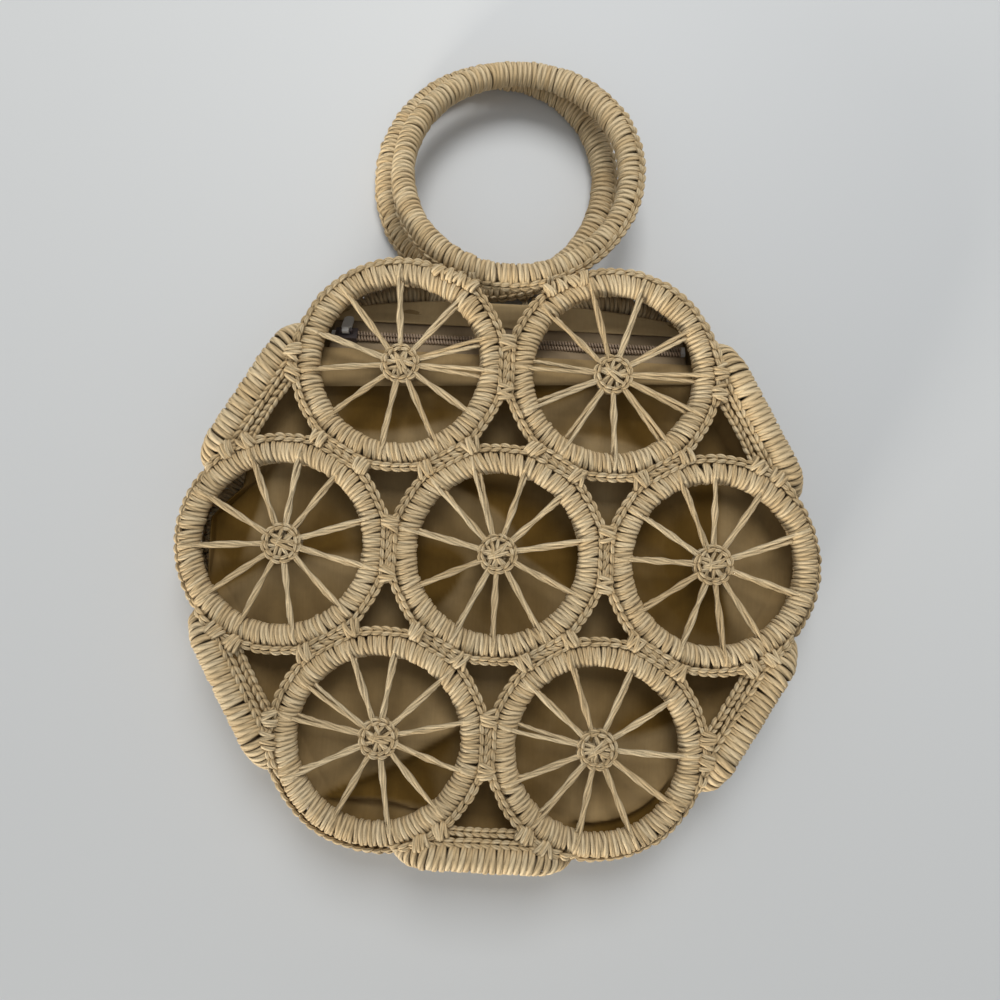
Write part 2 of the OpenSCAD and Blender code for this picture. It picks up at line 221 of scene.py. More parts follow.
@dataclass
class Work:
    """Collects swept strands and surfaces as whole arrays, and makes one mesh of them.

    No point of the mesh is lower than the floor, which is just over the table.
    """

    floor: float = 0.0002
    points: list[Array] = field(default_factory=list)
    tones: list[Array] = field(default_factory=list)
    corners: list[Array] = field(default_factory=list)
    counts: list[Array] = field(default_factory=list)
    places: list[Array] = field(default_factory=list)
    total: int = 0

    def add_points(self, points: Array, tones: Array) -> None:
        """Adds points.

        Args:
            points: any shape by 3.
            tones: one for each point.
        """
        self.points.append(points.reshape(-1, 3))
        self.tones.append(tones.ravel())
        self.total += tones.size

    def add_faces(self, faces: Array, places: Array) -> None:
        """Adds faces over the points that are added next.

        Args:
            faces: faces by corners, as numbers of those points.
            places: the place of each corner on its own strand or cloth.
        """
        self.corners.append((faces + self.total).ravel())
        self.counts.append(np.full(len(faces), faces.shape[1]))
        self.places.append(places.reshape(-1, 2))

    def sweep(self, paths: Array, ups: Array, wide: Array | float, thick: Array | float, sides: int = 6,
              closed: bool = False, seed: int = 1, painted_tuck_shade: Array | float = 0.0) -> None:
        """Carries an oval section along each path of a batch.

        A point of the section is the path's point plus wide times the cosine of its angle along the
        side direction, plus thick times the sine along the up direction.

        Args:
            paths: paths by points by 3.
            ups: the way that the section's thin side looks, one for all or one for each point.
            wide: half the section's width.
            thick: half its thickness.
            sides: points of a section.
            closed: whether each path is a loop; an open one gets a face over each end.
            seed: picks each strand's tone.
            painted_tuck_shade: painted shade, added to the tone at each point, below 0 where the strand goes
                under others.
        """
        many, size, _ = paths.shape
        wide, thick = (np.broadcast_to(half, (many, size))[..., None, None] for half in (wide, thick))
        if closed:
            along = np.roll(paths, -1, 1) - np.roll(paths, 1, 1)
        else:
            along = np.gradient(paths, axis=1)
        side = unit(np.cross(along, ups))
        up = unit(np.cross(side, along))
        angle = np.arange(sides) * TAU / sides
        ring = (paths[:, :, None] + wide * np.cos(angle)[:, None] * side[:, :, None]
                + thick * np.sin(angle)[:, None] * up[:, :, None])
        index = np.arange(many * size * sides).reshape(many, size, sides)
        rows = size if closed else size - 1
        here, ahead = index[:, :rows], np.roll(index, -1, 1)[:, :rows]
        faces = np.stack([here, ahead, np.roll(ahead, -1, 2), np.roll(here, -1, 2)], -1).reshape(-1, 4)
        steps = np.linalg.norm(np.roll(paths, -1, 1) - paths, axis=-1)
        length = np.concatenate([np.zeros((many, 1)), np.cumsum(steps, 1)], 1)
        run = np.stack([length[:, :rows], length[:, 1:rows + 1]], -1)[:, :, None, [0, 1, 1, 0]]
        share = (np.arange(sides)[:, None] + np.array([0, 0, 1, 1])) / sides
        self.add_faces(faces, join(run, share))
        if not closed:
            caps = np.concatenate([index[:, 0], index[:, -1, ::-1]])
            self.add_faces(caps, np.zeros((caps.size, 2)))
        tone = np.random.default_rng(seed).uniform(0, 1, many)
        # Painted shade: the tone drops where a strand goes under others, so it is darker there.
        self.add_points(ring, np.repeat(tone[:, None] + np.broadcast_to(painted_tuck_shade, (many, size)), sides, 1))

    def surface(self, grid: Array, places: Array, tones: Array) -> None:
        """Adds an open surface from a grid of points, facing rows cross columns.

        Args:
            grid: rows by columns by 3.
            places: rows by columns by 2, the place of each point on the flat cloth.
            tones: rows by columns.
        """
        index = np.arange(tones.size).reshape(tones.shape)
        quads = np.stack([index[:-1, :-1], index[1:, :-1], index[1:, 1:], index[:-1, 1:]], -1).reshape(-1, 4)
        self.add_faces(quads, places.reshape(-1, 2)[quads])
        self.add_points(grid, tones)

    def piece(self, name: str, finish: Material, *nodes: str, body: str = "bag",
              slot: str = "yarn") -> bpy.types.Object:
        """Makes the mesh and its object, and tells the frame what it rides on and stands for.

        Args:
            name: name of the piece.
            finish: its material.
            nodes: nodes that it replaces.
            body: body that it moves with.
            slot: not used.

        Returns:
            The object, with its place in its mesh.
        """
        mesh = bpy.data.meshes.new(name)
        points = np.concatenate(self.points)
        points[:, 2] = np.maximum(points[:, 2], self.floor)
        corners, counts = np.concatenate(self.corners), np.concatenate(self.counts)
        mesh.vertices.add(len(points))
        mesh.vertices.foreach_set("co", points.ravel())
        mesh.loops.add(len(corners))
        mesh.loops.foreach_set("vertex_index", corners)
        mesh.polygons.add(len(counts))
        mesh.polygons.foreach_set("loop_start", np.concatenate([[0], np.cumsum(counts)[:-1]]))
        mesh.polygons.foreach_set("use_smooth", np.ones(len(counts), bool))
        mesh.update(calc_edges=True)
        mesh.uv_layers.new(name="lie").uv.foreach_set("vector", np.concatenate(self.places).ravel())
        tones = mesh.attributes.new("tone", "FLOAT", "POINT")
        tones.data.foreach_set("value", np.concatenate(self.tones))
        mesh.materials.append(finish)
        thing = bpy.data.objects.new(name, mesh)
        bpy.context.scene.collection.objects.link(thing)
        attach(thing, body)
        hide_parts(*nodes)
        LOG.info("%s: %d points, %d faces", name, len(points), len(counts))
        return thing


class Track(Protocol):
    """Middle line of a tube that yarn is worked round."""

    @property
    def length(self) -> float:
        """Length once round."""

    def at(self, along: Array) -> tuple[Array, Array, Array]:
        """Point, edge direction and face direction at each place along the line."""


@dataclass(frozen=True)
class RingTrack:
    """A circle: middle + radius times (+X times the cosine + ahead times the sine).

    Its edge direction looks out from the middle, and its face direction is +X by ahead, times facing.
    """

    middle: Array
    radius: float
    facing: int = 1
    ahead: Point = (0.0, 1.0, 0.0)

    @property
    def length(self) -> float:
        """Length once round."""
        return TAU * self.radius

    def at(self, along: Array) -> tuple[Array, Array, Array]:
        """Where the circle runs, and its directions.

        Args:
            along: places along the circle, from +X.

        Returns:
            Point, edge direction and face direction at each place.
        """
        across = np.array([1.0, 0.0, 0.0])
        angle = (np.asarray(along) / self.radius)[..., None]
        out = np.cos(angle) * across + np.sin(angle) * np.array(self.ahead)
        return self.middle + self.radius * out, out, np.cross(across, self.ahead) * self.facing


@dataclass(frozen=True)
class OvalTrack:
    """Two straight runs along a side of the bag, joined by a half circle at each end, standing on edge.

    Its edge direction looks in towards the bag's middle, and its face direction looks out of the oval.
    """

    middle: Array
    side: Array
    inward: Array

    @property
    def length(self) -> float:
        """Length once round."""
        return 2 * SIZES.bar_straight + TAU * SIZES.bar_bend

    def at(self, along: Array) -> tuple[Array, Array, Array]:
        """Where the oval runs, and its directions.

        The second half of the oval is the first half turned half way round its middle.

        Args:
            along: places along the oval, from the start of its upper run.

        Returns:
            Point, edge direction and face direction at each place.
        """
        straight, bend = SIZES.bar_straight, SIZES.bar_bend
        half, rest = np.divmod(np.mod(along, self.length), self.length / 2)
        angle = math.pi / 2 - np.maximum(rest - straight, 0) / bend
        x = np.where(rest < straight, rest - straight / 2, straight / 2 + bend * np.cos(angle))
        turned = (1 - 2 * half)[..., None]
        out = turned * (np.cos(angle)[..., None] * self.side + np.sin(angle)[..., None] * UP)
        point = self.middle + turned * (x[..., None] * self.side + (bend * np.sin(angle))[..., None] * UP)
        return point, self.inward, out


@dataclass(frozen=True)
class Stitches:
    """Crochet worked round a tube: pairs of strands, and a chain of loops along one edge of it.

    Attributes:
        track: middle line of the tube.
        tube: outer radius of the work.
        count: number of stitches.
        seed: picks the unevenness.
        chain_turn: how far the chain lies from the edge direction towards the face direction.
        chain_sway: how far that changes once round.
        chain_tilt: how much more the chain looks towards the face than it lies.
        chain_gap: how far the chain's middle is outside the work.
        lean: how far a strand's outer end is ahead of its inner end, on one side of the tube.
        half_thick: half the thickness of a strand.
        pair_off: how far each strand of a pair is from its middle, in steps.
        draw: angle over which the chain draws the strands together.
        sections: points of a strand.
    """

    track: Track
    tube: float
    count: int
    seed: int
    chain_turn: float = math.radians(20)
    chain_sway: float = 0.0
    chain_tilt: float = math.radians(50)
    chain_gap: float = 0.0014
    lean: float = 0.0011
    half_thick: float = 0.00105
    pair_off: float = 0.25
    draw: float = 0.6
    sections: int = 22

    @property
    def step(self) -> float:
        """Length of a stitch along the tube."""
        return self.track.length / self.count

    def turn_at(self, along: Array) -> Array:
        """Where the chain lies round the tube, at each place along it."""
        return self.chain_turn + self.chain_sway * np.cos(TAU * along / self.track.length + 0.35)

    def on(self, along: Array, turn: Array, out: Array | float) -> tuple[Array, Array]:
        """Points on the work: the track's point + out times (edge times cosine + face times sine of turn).

        Args:
            along: places along the tube.
            turn: places round it.
            out: distance from the tube's middle line.

        Returns:
            The points, and the directions that they look in.
        """
        point, edge, face = self.track.at(along)
        turn = np.asarray(turn)[..., None]
        look = np.cos(turn) * edge + np.sin(turn) * face
        return point + np.asarray(out)[..., None] * look, look

    def edge_line(self, along: Array) -> tuple[Array, Array]:
        """Middle line of the chain, which looks tilted from where it lies towards the face.

        Args:
            along: places along the tube.

        Returns:
            Points, and the directions that the chain looks in.
        """
        turn = self.turn_at(along)
        paths, _ = self.on(along, turn, self.tube + self.chain_gap)
        return paths, self.on(along, turn + self.chain_tilt, 0.0)[1]

    def windings(self, work: Work) -> None:
        """Adds the strands round the tube.

        Each strand is a loop round the tube, tilted by the lean. The two strands of a stitch draw together
        where the chain holds them, which leaves a gap to the next pair. There they are also painted darker,
        as painted shade under the chain.

        Args:
            work: where the strands go.
        """
        rng = np.random.default_rng(self.seed)
        column = (2 * self.count, 1)
        start = (np.arange(self.count) + 0.5) * self.step
        start = np.repeat(start + rng.normal(0, 0.035, self.count) * self.step, 2)[:, None]
        pair = np.tile([-1.0, 1.0], self.count)[:, None]
        turn = np.arange(self.sections) * TAU / self.sections + 0.0 * start
        place = np.broadcast_to(start, turn.shape)
        away = np.mod(turn - self.turn_at(place) + math.pi, TAU) - math.pi
        drawn = bell(away, self.draw)
        lean = self.lean * (1 + 0.6 * wander(place / self.track.length, 5, self.seed))
        lean = lean + rng.normal(0, 0.00030, column)
        place = place + pair * self.step * (self.pair_off - 0.035 * drawn) + lean * np.cos(away)
        place = place + 0.00018 * rng.normal(0, 1, column) * np.sin(turn * 2)
        out = self.tube - self.half_thick + rng.normal(0, 0.00020, column) + 0.0010 * drawn
        paths, ups = self.on(place, turn, out)
        apart = 0.0005
        stretch = np.linalg.norm(self.on(place + apart, turn, out)[0] - paths, axis=-1) / apart
        wide = self.step * self.pair_off * stretch * (1.17 - 0.16 * drawn) * rng.uniform(0.92, 1.08, column)
        # Painted shade: the tone drops where the chain holds the strands down.
        work.sweep(paths, ups, np.minimum(wide, 0.31 * self.step), self.half_thick, closed=True,
                   seed=self.seed, painted_tuck_shade=-1.6 * drawn**3)


def chain(work: Work, line: Line, starts: Array, step: float, seed: int, half_wide: float = 0.00126,
          spread: float = 0.00132, way: int = 1) -> None:
    """Adds a row of crocheted loops, each two strands that part from a point and lean to the next loop.

    A strand runs 1.4 steps along the row. Its distance from the row's middle is a small part to two thirds
    of a half wave times the spread. It is tucked down and thin at both ends, and painted darker there, as
    painted shade where it goes under its neighbours.

    Args:
        work: where the strands go.
        line: gives the row's middle and the way it looks, at places along it.
        starts: where each loop starts, along the row.
        step: length of a loop.
        seed: picks the unevenness.
        half_wide: half the width of a strand.
        spread: how far the strands of a loop part.
        way: +1 where the loops point along the row, -1 where they point back.
    """
    rng = np.random.default_rng(seed + 50)
    run, lead = 1.40, 0.2
    arch, sink = 0.0016, 0.0010
    t = np.linspace(0, 1, 9)
    column = (2 * len(starts), 1)
    side = np.tile([-1.0, 1.0], len(starts))[:, None]
    drift = rng.normal(0, 0.05, len(starts)).repeat(2)[:, None] * step
    points, ups = line(starts.repeat(2)[:, None] + drift + way * (run * t - lead) * step)
    across = unit(np.cross(np.gradient(points, axis=1), ups))
    off = side * (0.00012 + spread * np.sin(math.pi * (0.04 + 0.60 * t))) * rng.uniform(0.85, 1.15, column)
    rise = arch * np.sin(math.pi * t**0.8) - sink + rng.normal(0, 0.00016, column)
    paths = points + off[..., None] * across + rise[..., None] * ups
    taper = 0.30 + 0.70 * np.sin(math.pi * (0.05 + 0.9 * t)) ** 0.8
    wide = half_wide * taper * rng.uniform(0.9, 1.12, column)
    # Painted shade: the tone drops towards both ends of each strand, where it tucks under.
    painted_tuck_shade = -3.4 * (1 - np.sin(math.pi * (0.03 + 0.92 * t))) ** 1.5
    work.sweep(paths, ups, wide, 0.85 * wide, seed=seed, painted_tuck_shade=painted_tuck_shade)


def knots(work: Work, middles: Array, axes: Array, up: Array, half: Point, seed: int, loops: int = 4,
          yarn: float = 0.00124) -> None:
    """Adds a bundle of loops at each place, side by side along its axis like yarn tied round two chains.

    A loop is an oval that leans a little along the axis, and is smaller near the ends of the bundle.

    Args:
        work: where the loops go.
        middles: middles of the knots, knots by 3.
        axes: what each knot is tied round, one for all or one for each knot.
        up: the way that they face.
        half: half the bundle's length, width and height, to the middle of the yarn.
        seed: picks the unevenness.
        loops: loops in a knot.
        yarn: half the width of the yarn.
    """
    rng = np.random.default_rng(seed)
    points = 14
    axes = unit(np.broadcast_to(axes, middles.shape))[:, None, None]
    cross = np.cross(axes, up)
    shape = (len(middles), loops, 1, 1)
    place = np.linspace(-1, 1, loops)[None, :, None, None] + rng.normal(0, 0.08, shape)
    angle = (np.arange(points) * TAU / points)[:, None]
    slim = np.sqrt(1 - 0.38 * np.clip(place, -1, 1) ** 2) * rng.uniform(0.9, 1.06, shape)
    slant = rng.uniform(-0.0017, 0.0017, shape)
    tilt = rng.uniform(-0.5, 0.5, shape)
    paths = (middles[:, None, None] + axes * (place * half[0] + slant * np.cos(angle + tilt))
             + slim * (half[1] * np.cos(angle) * cross + half[2] * np.sin(angle) * up))
    looks = half[2] * np.cos(angle) * cross + half[1] * np.sin(angle) * up + 0 * paths
    work.sweep(paths.reshape(-1, points, 3), looks.reshape(-1, points, 3), yarn, 0.9 * yarn, closed=True,
               seed=seed)


@dataclass
class Wheel:
    """One wheel of the bag: wound rim, chain edge, twisted spokes and crocheted hub.

    Attributes:
        place: number of the wheel, 0 to 6.
        face: the face that it belongs to.
        spokes: angles of its spokes, in degrees from +X.
        split: how far each spoke's strands part at the rim, from 0 to 1.4.
        stitch_count: stitches round the rim.
        loops: loops of the chain round it.
        hub_reach: radius of the hub's cord.
        hub_loops: loops on that cord.
        hub_pairs: pairs of stitches in to the middle.
        touch: how far the chain is from the middle, where a neighbour's chain lies beside it.
        edge_height: height of the chain over the hoop's middle.
        bar_turn: angle from the wheel's outward direction to a bar's knot.
        level: degrees to either side of a neighbour where the chain runs straight.
        bar_free: degrees from the outward direction to where the chain turns down, beside a bar.
        edge_free: the same where there is no bar.
        free_soft: degrees over which it turns down.
    """

    place: int
    face: Face
    spokes: tuple[float, ...]
    split: tuple[float, ...]
    stitch_count: int = 62
    loops: int = 67
    hub_reach: float = 0.0080
    hub_loops: int = 12
    hub_pairs: int = 7
    touch: float = 0.0538
    edge_height: float = 0.0033
    bar_turn: float = 56.7
    level: float = 14.0
    bar_free: float = 46.0
    edge_free: float = 66.0
    free_soft: float = 14.0

    @property
    def name(self) -> str:
        """Name of the wheel, as its node has it."""
        return f"{self.face.word}_wheel_{PLACES[self.place]}"

    @property
    def middle(self) -> Array:
        """Middle of the wheel."""
        return SIZES.wheel_at(self.place, SIZES.height(self.face))

    @property
    def seed(self) -> int:
        """Number that picks this wheel's unevenness."""
        return 100 * (1 + self.place) + (7 if self.face is Face.BACK else 0)

    def neighbours(self) -> tuple[list[float], list[float], float | None]:
        """What lies round the wheel, by its direction in degrees.

        Returns:
            The wheels that it touches, its bars' knots, and the bag's outside. The centre wheel has no bar
            and no outside.
        """
        if self.place == 0:
            return [60.0 * k for k in range(6)], [], None
        out = 60.0 * (self.place - 1)
        bars = [out + s * self.bar_turn for s in BOTH if (out + 30 * s) % 360 in SIDES.values()]
        return [out + 180, out + 120, out - 120], bars, out

    def edge_line(self, along: Array) -> tuple[Array, Array]:
        """Middle line of the chain round the wheel, and the way that it looks.

        Towards a neighbour the line is straight, half a chain short of the line that the two share. It bends
        back past each knot, bulges to the bars' knots, and on the outside of the bag turns down to the side.

        Args:
            along: places along the rim's middle line.

        Returns:
            Points and directions.
        """
        angle = np.asarray(along) / SIZES.rim
        joints, bars, out = self.neighbours()

        def past(degrees: float) -> Array:
            """Angle from a direction, in degrees, from -180 to 180."""
            return np.mod(np.degrees(angle) - degrees + 180, 360) - 180

        near = np.min([np.abs(past(joint)) for joint in joints], axis=0)
        reach = self.touch / np.cos(np.radians(np.minimum(near, self.level)))
        reach = reach - 0.0007 * ramp(near - self.level, 12)
        for bar in bars:
            reach = reach + 0.0008 * bell(past(bar), 7)
        free = np.zeros(angle.shape)
        if out is not None:
            half = [self.bar_free if out + self.bar_turn * s in bars else self.edge_free for s in BOTH]
            free = ease(ramp(np.where(past(out) < 0, *half) - np.abs(past(out)), self.free_soft))
        draw, drop, turn = (0.0009, 0.0006, 18) if self.place in (2, 3) else (0.0018, 0.0052, 72)
        look = np.radians(70 - free * turn)[..., None]
        up = UP * self.face.value
        flat = polar(1.0, angle)
        height = (self.edge_height - free * drop)[..., None]
        points = self.middle + (reach - free * draw)[..., None] * flat + height * up
        return points, np.cos(look) * flat + np.sin(look) * up

    def add_spokes(self, work: Work) -> None:
        """Adds two strands for each spoke, twisted together.

        One climbs over the wound rim to its edge and lies half sunk in it, the other dives into the windings.
        Across the spoke a strand is its share of the twist's cosine, up from it the twist's sine.

        Args:
            work: where the strands go.
        """
        rng = np.random.default_rng(self.seed + 1)
        count = len(self.spokes)
        steps = 40
        turn = np.radians([128, 108, 88, 66, 44, 24])
        climb = polar(SIZES.wrap - 0.0001, turn) + np.array([SIZES.rim, 0, 0])
        over = np.array([[6.8, 0.6], [10, 1.0], [17, 2.0], [26, 3.2], [35, 4.3]]) / 1000
        over = np.concatenate([over, climb[:, :2]])
        under = np.array([[6.8, 0.5], [10, 0.9], [17, 1.8], [25, 2.6], [32, 3.1], [37, 3.3], [40, 3.1],
                          [41.6, 2.6], [42.6, 1.8], [43.3, 0.8], [43.6, 0.0]]) / 1000
        lines = smooth(np.stack([over, under]), steps)
        radius, height = (np.tile(lines[..., k], (count, 1)) for k in range(2))
        sign = np.tile([1.0, -1.0], count)[:, None]
        split = np.repeat(self.split, 2)[:, None]
        twist = rng.uniform(0, TAU, (count, 1)).repeat(2, 0)
        twist = twist + radius / rng.uniform(0.0030, 0.0048, (count, 1)).repeat(2, 0)
        calm = np.clip(1 - split, 0.15, 1)
        part = 0.0014 * np.maximum(split - 0.35, 0) * ramp(radius - 0.010, 0.032)
        off = sign * (0.00055 + 0.00034 * calm * np.cos(twist) + part)
        lift = sign * 0.0005 * calm * np.sin(twist) * ramp(0.041 - radius, 0.006)
        angle = np.radians(np.repeat(self.spokes, 2))[:, None] + off / np.maximum(radius, 0.009)
        out = polar(radius, angle, self.face.value * (height + lift))
        past = ramp(radius - SIZES.rim, SIZES.wrap)[..., None]
        wide = 0.00110 * (1 + 0.12 * np.sin(np.linspace(0, 46, steps) + twist[:, :1]))
        work.sweep(self.middle + out, UP * self.face.value + 0.9 * past * unit(out), wide, 0.00092,
                   seed=self.seed + 1)

    def add_hub(self, work: Work) -> None:
        """Adds the hub: small loops on a round cord, stitches in to the middle, and three across.

        Args:
            work: where the strands go.
        """
        rng = np.random.default_rng(self.seed + 2)
        cord = RingTrack(self.middle, self.hub_reach)
        paths, looks, _ = cord.at(np.arange(44)[None] * cord.length / 44)
        work.sweep(paths, looks, 0.0013, 0.0011, closed=True, seed=self.seed)
        t = np.linspace(0, 1, 9)
        pairs = self.hub_pairs
        column = (2 * pairs, 1)
        for side in (1, -1):
            row = Stitches(RingTrack(self.middle, self.hub_reach, side), 0.0008, self.hub_loops,
                           self.seed + side, chain_turn=math.radians(66), chain_tilt=math.radians(10),
                           chain_gap=0.0008)
            chain(work, row.edge_line, np.arange(self.hub_loops) * row.step, row.step, row.seed, 0.00098,
                  0.00105)
            bearing = (np.arange(2 * pairs) // 2 * TAU / pairs + np.tile([-0.15, 0.15], pairs))[:, None]
            bearing = bearing + rng.normal(0, 0.16, column) + rng.uniform(-0.9, 0.9, column) * (1 - t) ** 2
            lift = 0.0003 + 0.0011 * np.sin(math.pi * (0.1 + 0.75 * t)) + rng.uniform(-0.0003, 0.0006, column)
            paths = self.middle + polar(0.0010 + 0.0066 * t, bearing, side * lift)
            work.sweep(paths, UP * side, 0.00112 * (0.6 + 0.4 * np.sin(math.pi * t)), 0.00095,
                       seed=self.seed + 3)
            bearing = rng.uniform(0, TAU) + np.array([[0.0], [0.25], [1.5]])
            run = np.array([[0.0056], [0.0050], [0.0030]]) * (2 * t - 1)
            miss = np.array([[-0.0009], [0.0009], [0.0018]])
            lift = 0.0012 + 0.0013 * np.sin(math.pi * t) ** 0.7
            paths = self.middle + polar(run, bearing, side * lift) + polar(miss, bearing + math.pi / 2)
            work.sweep(paths, UP * side, 0.00105, 0.0009, seed=self.seed + 4)

    def build(self, finish: Material) -> None:
        """Makes the whole wheel as one piece.

        Args:
            finish: the yarn's material.
        """
        work = Work()
        rim = RingTrack(self.middle, SIZES.rim, self.face.value)
        Stitches(rim, SIZES.wrap, self.stitch_count, self.seed).windings(work)
        step = rim.length / self.loops
        chain(work, self.edge_line, np.arange(self.loops) * step, step, self.seed)
        self.add_spokes(work)
        self.add_hub(work)
        work.piece(self.name + "_yarn", finish, self.name)


SPOKES: dict[int, tuple[float, ...]] = {
    0: (8.1, 41.4, 70.5, 103.7, 130.8, 163.7, 201.5, 241.4, 266.6, 298.4, 332.2),
    1: (18.5, 56.1, 88.5, 110.9, 145.4, 175.6, 210.7, 246.4, 274.4, 300.9, 339.5),
    2: (-4.0, 27.6, 70.3, 104.3, 136.6, 174.0, 201.8, 235.0, 269.3, 305.0, 332.3),
    3: (-7.9, 13.9, 45.6, 89.5, 127.0, 159.4, 184.3, 217.1, 258.2, 293.7, 323.9),
    4: (14.9, 50.6, 77.7, 108.1, 146.6, 181.2, 214.6, 243.9, 278.7, 313.5, 344.2),
    5: (10.8, 42.5, 78.5, 106.8, 140.9, 164.4, 201.8, 240.4, 277.3, 310.7, 339.2),
    6: (-3.8, 33.7, 66.2, 106.1, 135.8, 163.9, 199.0, 227.5, 256.0, 291.5, 323.9),
}
SPLITS: dict[int, tuple[float, ...]] = {
    0: (0.5, 0.0, 0.2, 0.8, 0.2, 0.5, 0.2, 0.3, 0.2, 0.3, 0.3),
    1: (1.0, 0.6, 0.1, 0.1, 0.3, 0.1, 0.3, 0.1, 0.1, 0.4, 0.5),
    2: (1.1, 0.9, 0.5, 0.1, 0.1, 1.4, 0.9, 1.0, 0.1, 0.9, 0.8),
    3: (1.2, 0.9, 0.6, 0.1, 0.2, 0.3, 0.4, 0.3, 0.4, 0.3, 0.2),
    4: (0.5, 0.3, 0.1, 0.3, 0.3, 0.1, 0.3, 0.1, 0.1, 0.2, 0.3),
    5: (0.3, 0.4, 0.1, 0.1, 0.9, 0.7, 0.1, 0.2, 0.3, 0.2, 0.3),
    6: (0.4, 0.5, 0.6, 0.1, 0.3, 1.2, 0.3, 0.5, 0.2, 0.3, 0.5),
}


@dataclass
class Faces:
    """The wheels of both faces and the knots that join them."""

    front_turn: float = 3.1
    back_turn: float = 11.0
    knot_side: float = 0.0133
    knot_height: float = 0.0035
    bar_knots: tuple[float, float] = (0.03089, 0.0215)
    knot_half: Point = (0.0029, 0.0041, 0.0025)

    def wheels(self) -> list[Wheel]:
        """All the wheels: the back ones are the front ones seen from behind, turned on.

        Returns:
            The front wheels, then the back ones.
        """
        wheels = [Wheel(i, Face.FRONT, tuple(a + self.front_turn for a in SPOKES[i]), SPLITS[i])
                  for i in range(7)]
        for i in range(7):
            turned = tuple(180 - a + self.back_turn * i for a in SPOKES[6 - i])
            wheels.append(Wheel(i, Face.BACK, turned, SPLITS[6 - i]))
        return wheels

    def knot_places(self) -> tuple[Array, Array]:
        """Where the knots of one face are: between the wheels, then along the bars.

        Returns:
            Their middles at height 0, and the direction that each is tied round.
        """
        places, axes = [], []
        for angle in range(0, 360, 30):
            out, along = compass(angle)
            reach, tied = (SIZES.row_y, out) if angle % 60 else (SIZES.pitch / 2, along)
            for s in BOTH:
                places.append(reach * out + s * self.knot_side * tied)
                axes.append(tied)
        for angle in SIDES.values():
            out, along = compass(angle)
            for knot in self.bar_knots:
                reach = SIZES.row_y + math.sqrt(SIZES.edge_out**2 - (SIZES.pitch / 2 - knot) ** 2)
                for s in BOTH:
                    places.append(reach * out + s * knot * along)
                    axes.append(along + s * 0.35 * out)
        return np.array(places) + HOME, np.array(axes)

    def build(self, finish: Material) -> None:
        """Makes the wheels and the knots.

        Args:
            finish: the yarn's material.
        """
        for wheel in self.wheels():
            wheel.build(finish)
        places, axes = self.knot_places()
        for face in Face:
            work = Work()
            middles = places + UP * (SIZES.height(face) + face.value * self.knot_height)
            knots(work, middles, axes, UP * face.value, self.knot_half, 900 + face.value)
            work.piece(f"{face.word}_seams_knots", finish, f"{face.word}_seams")


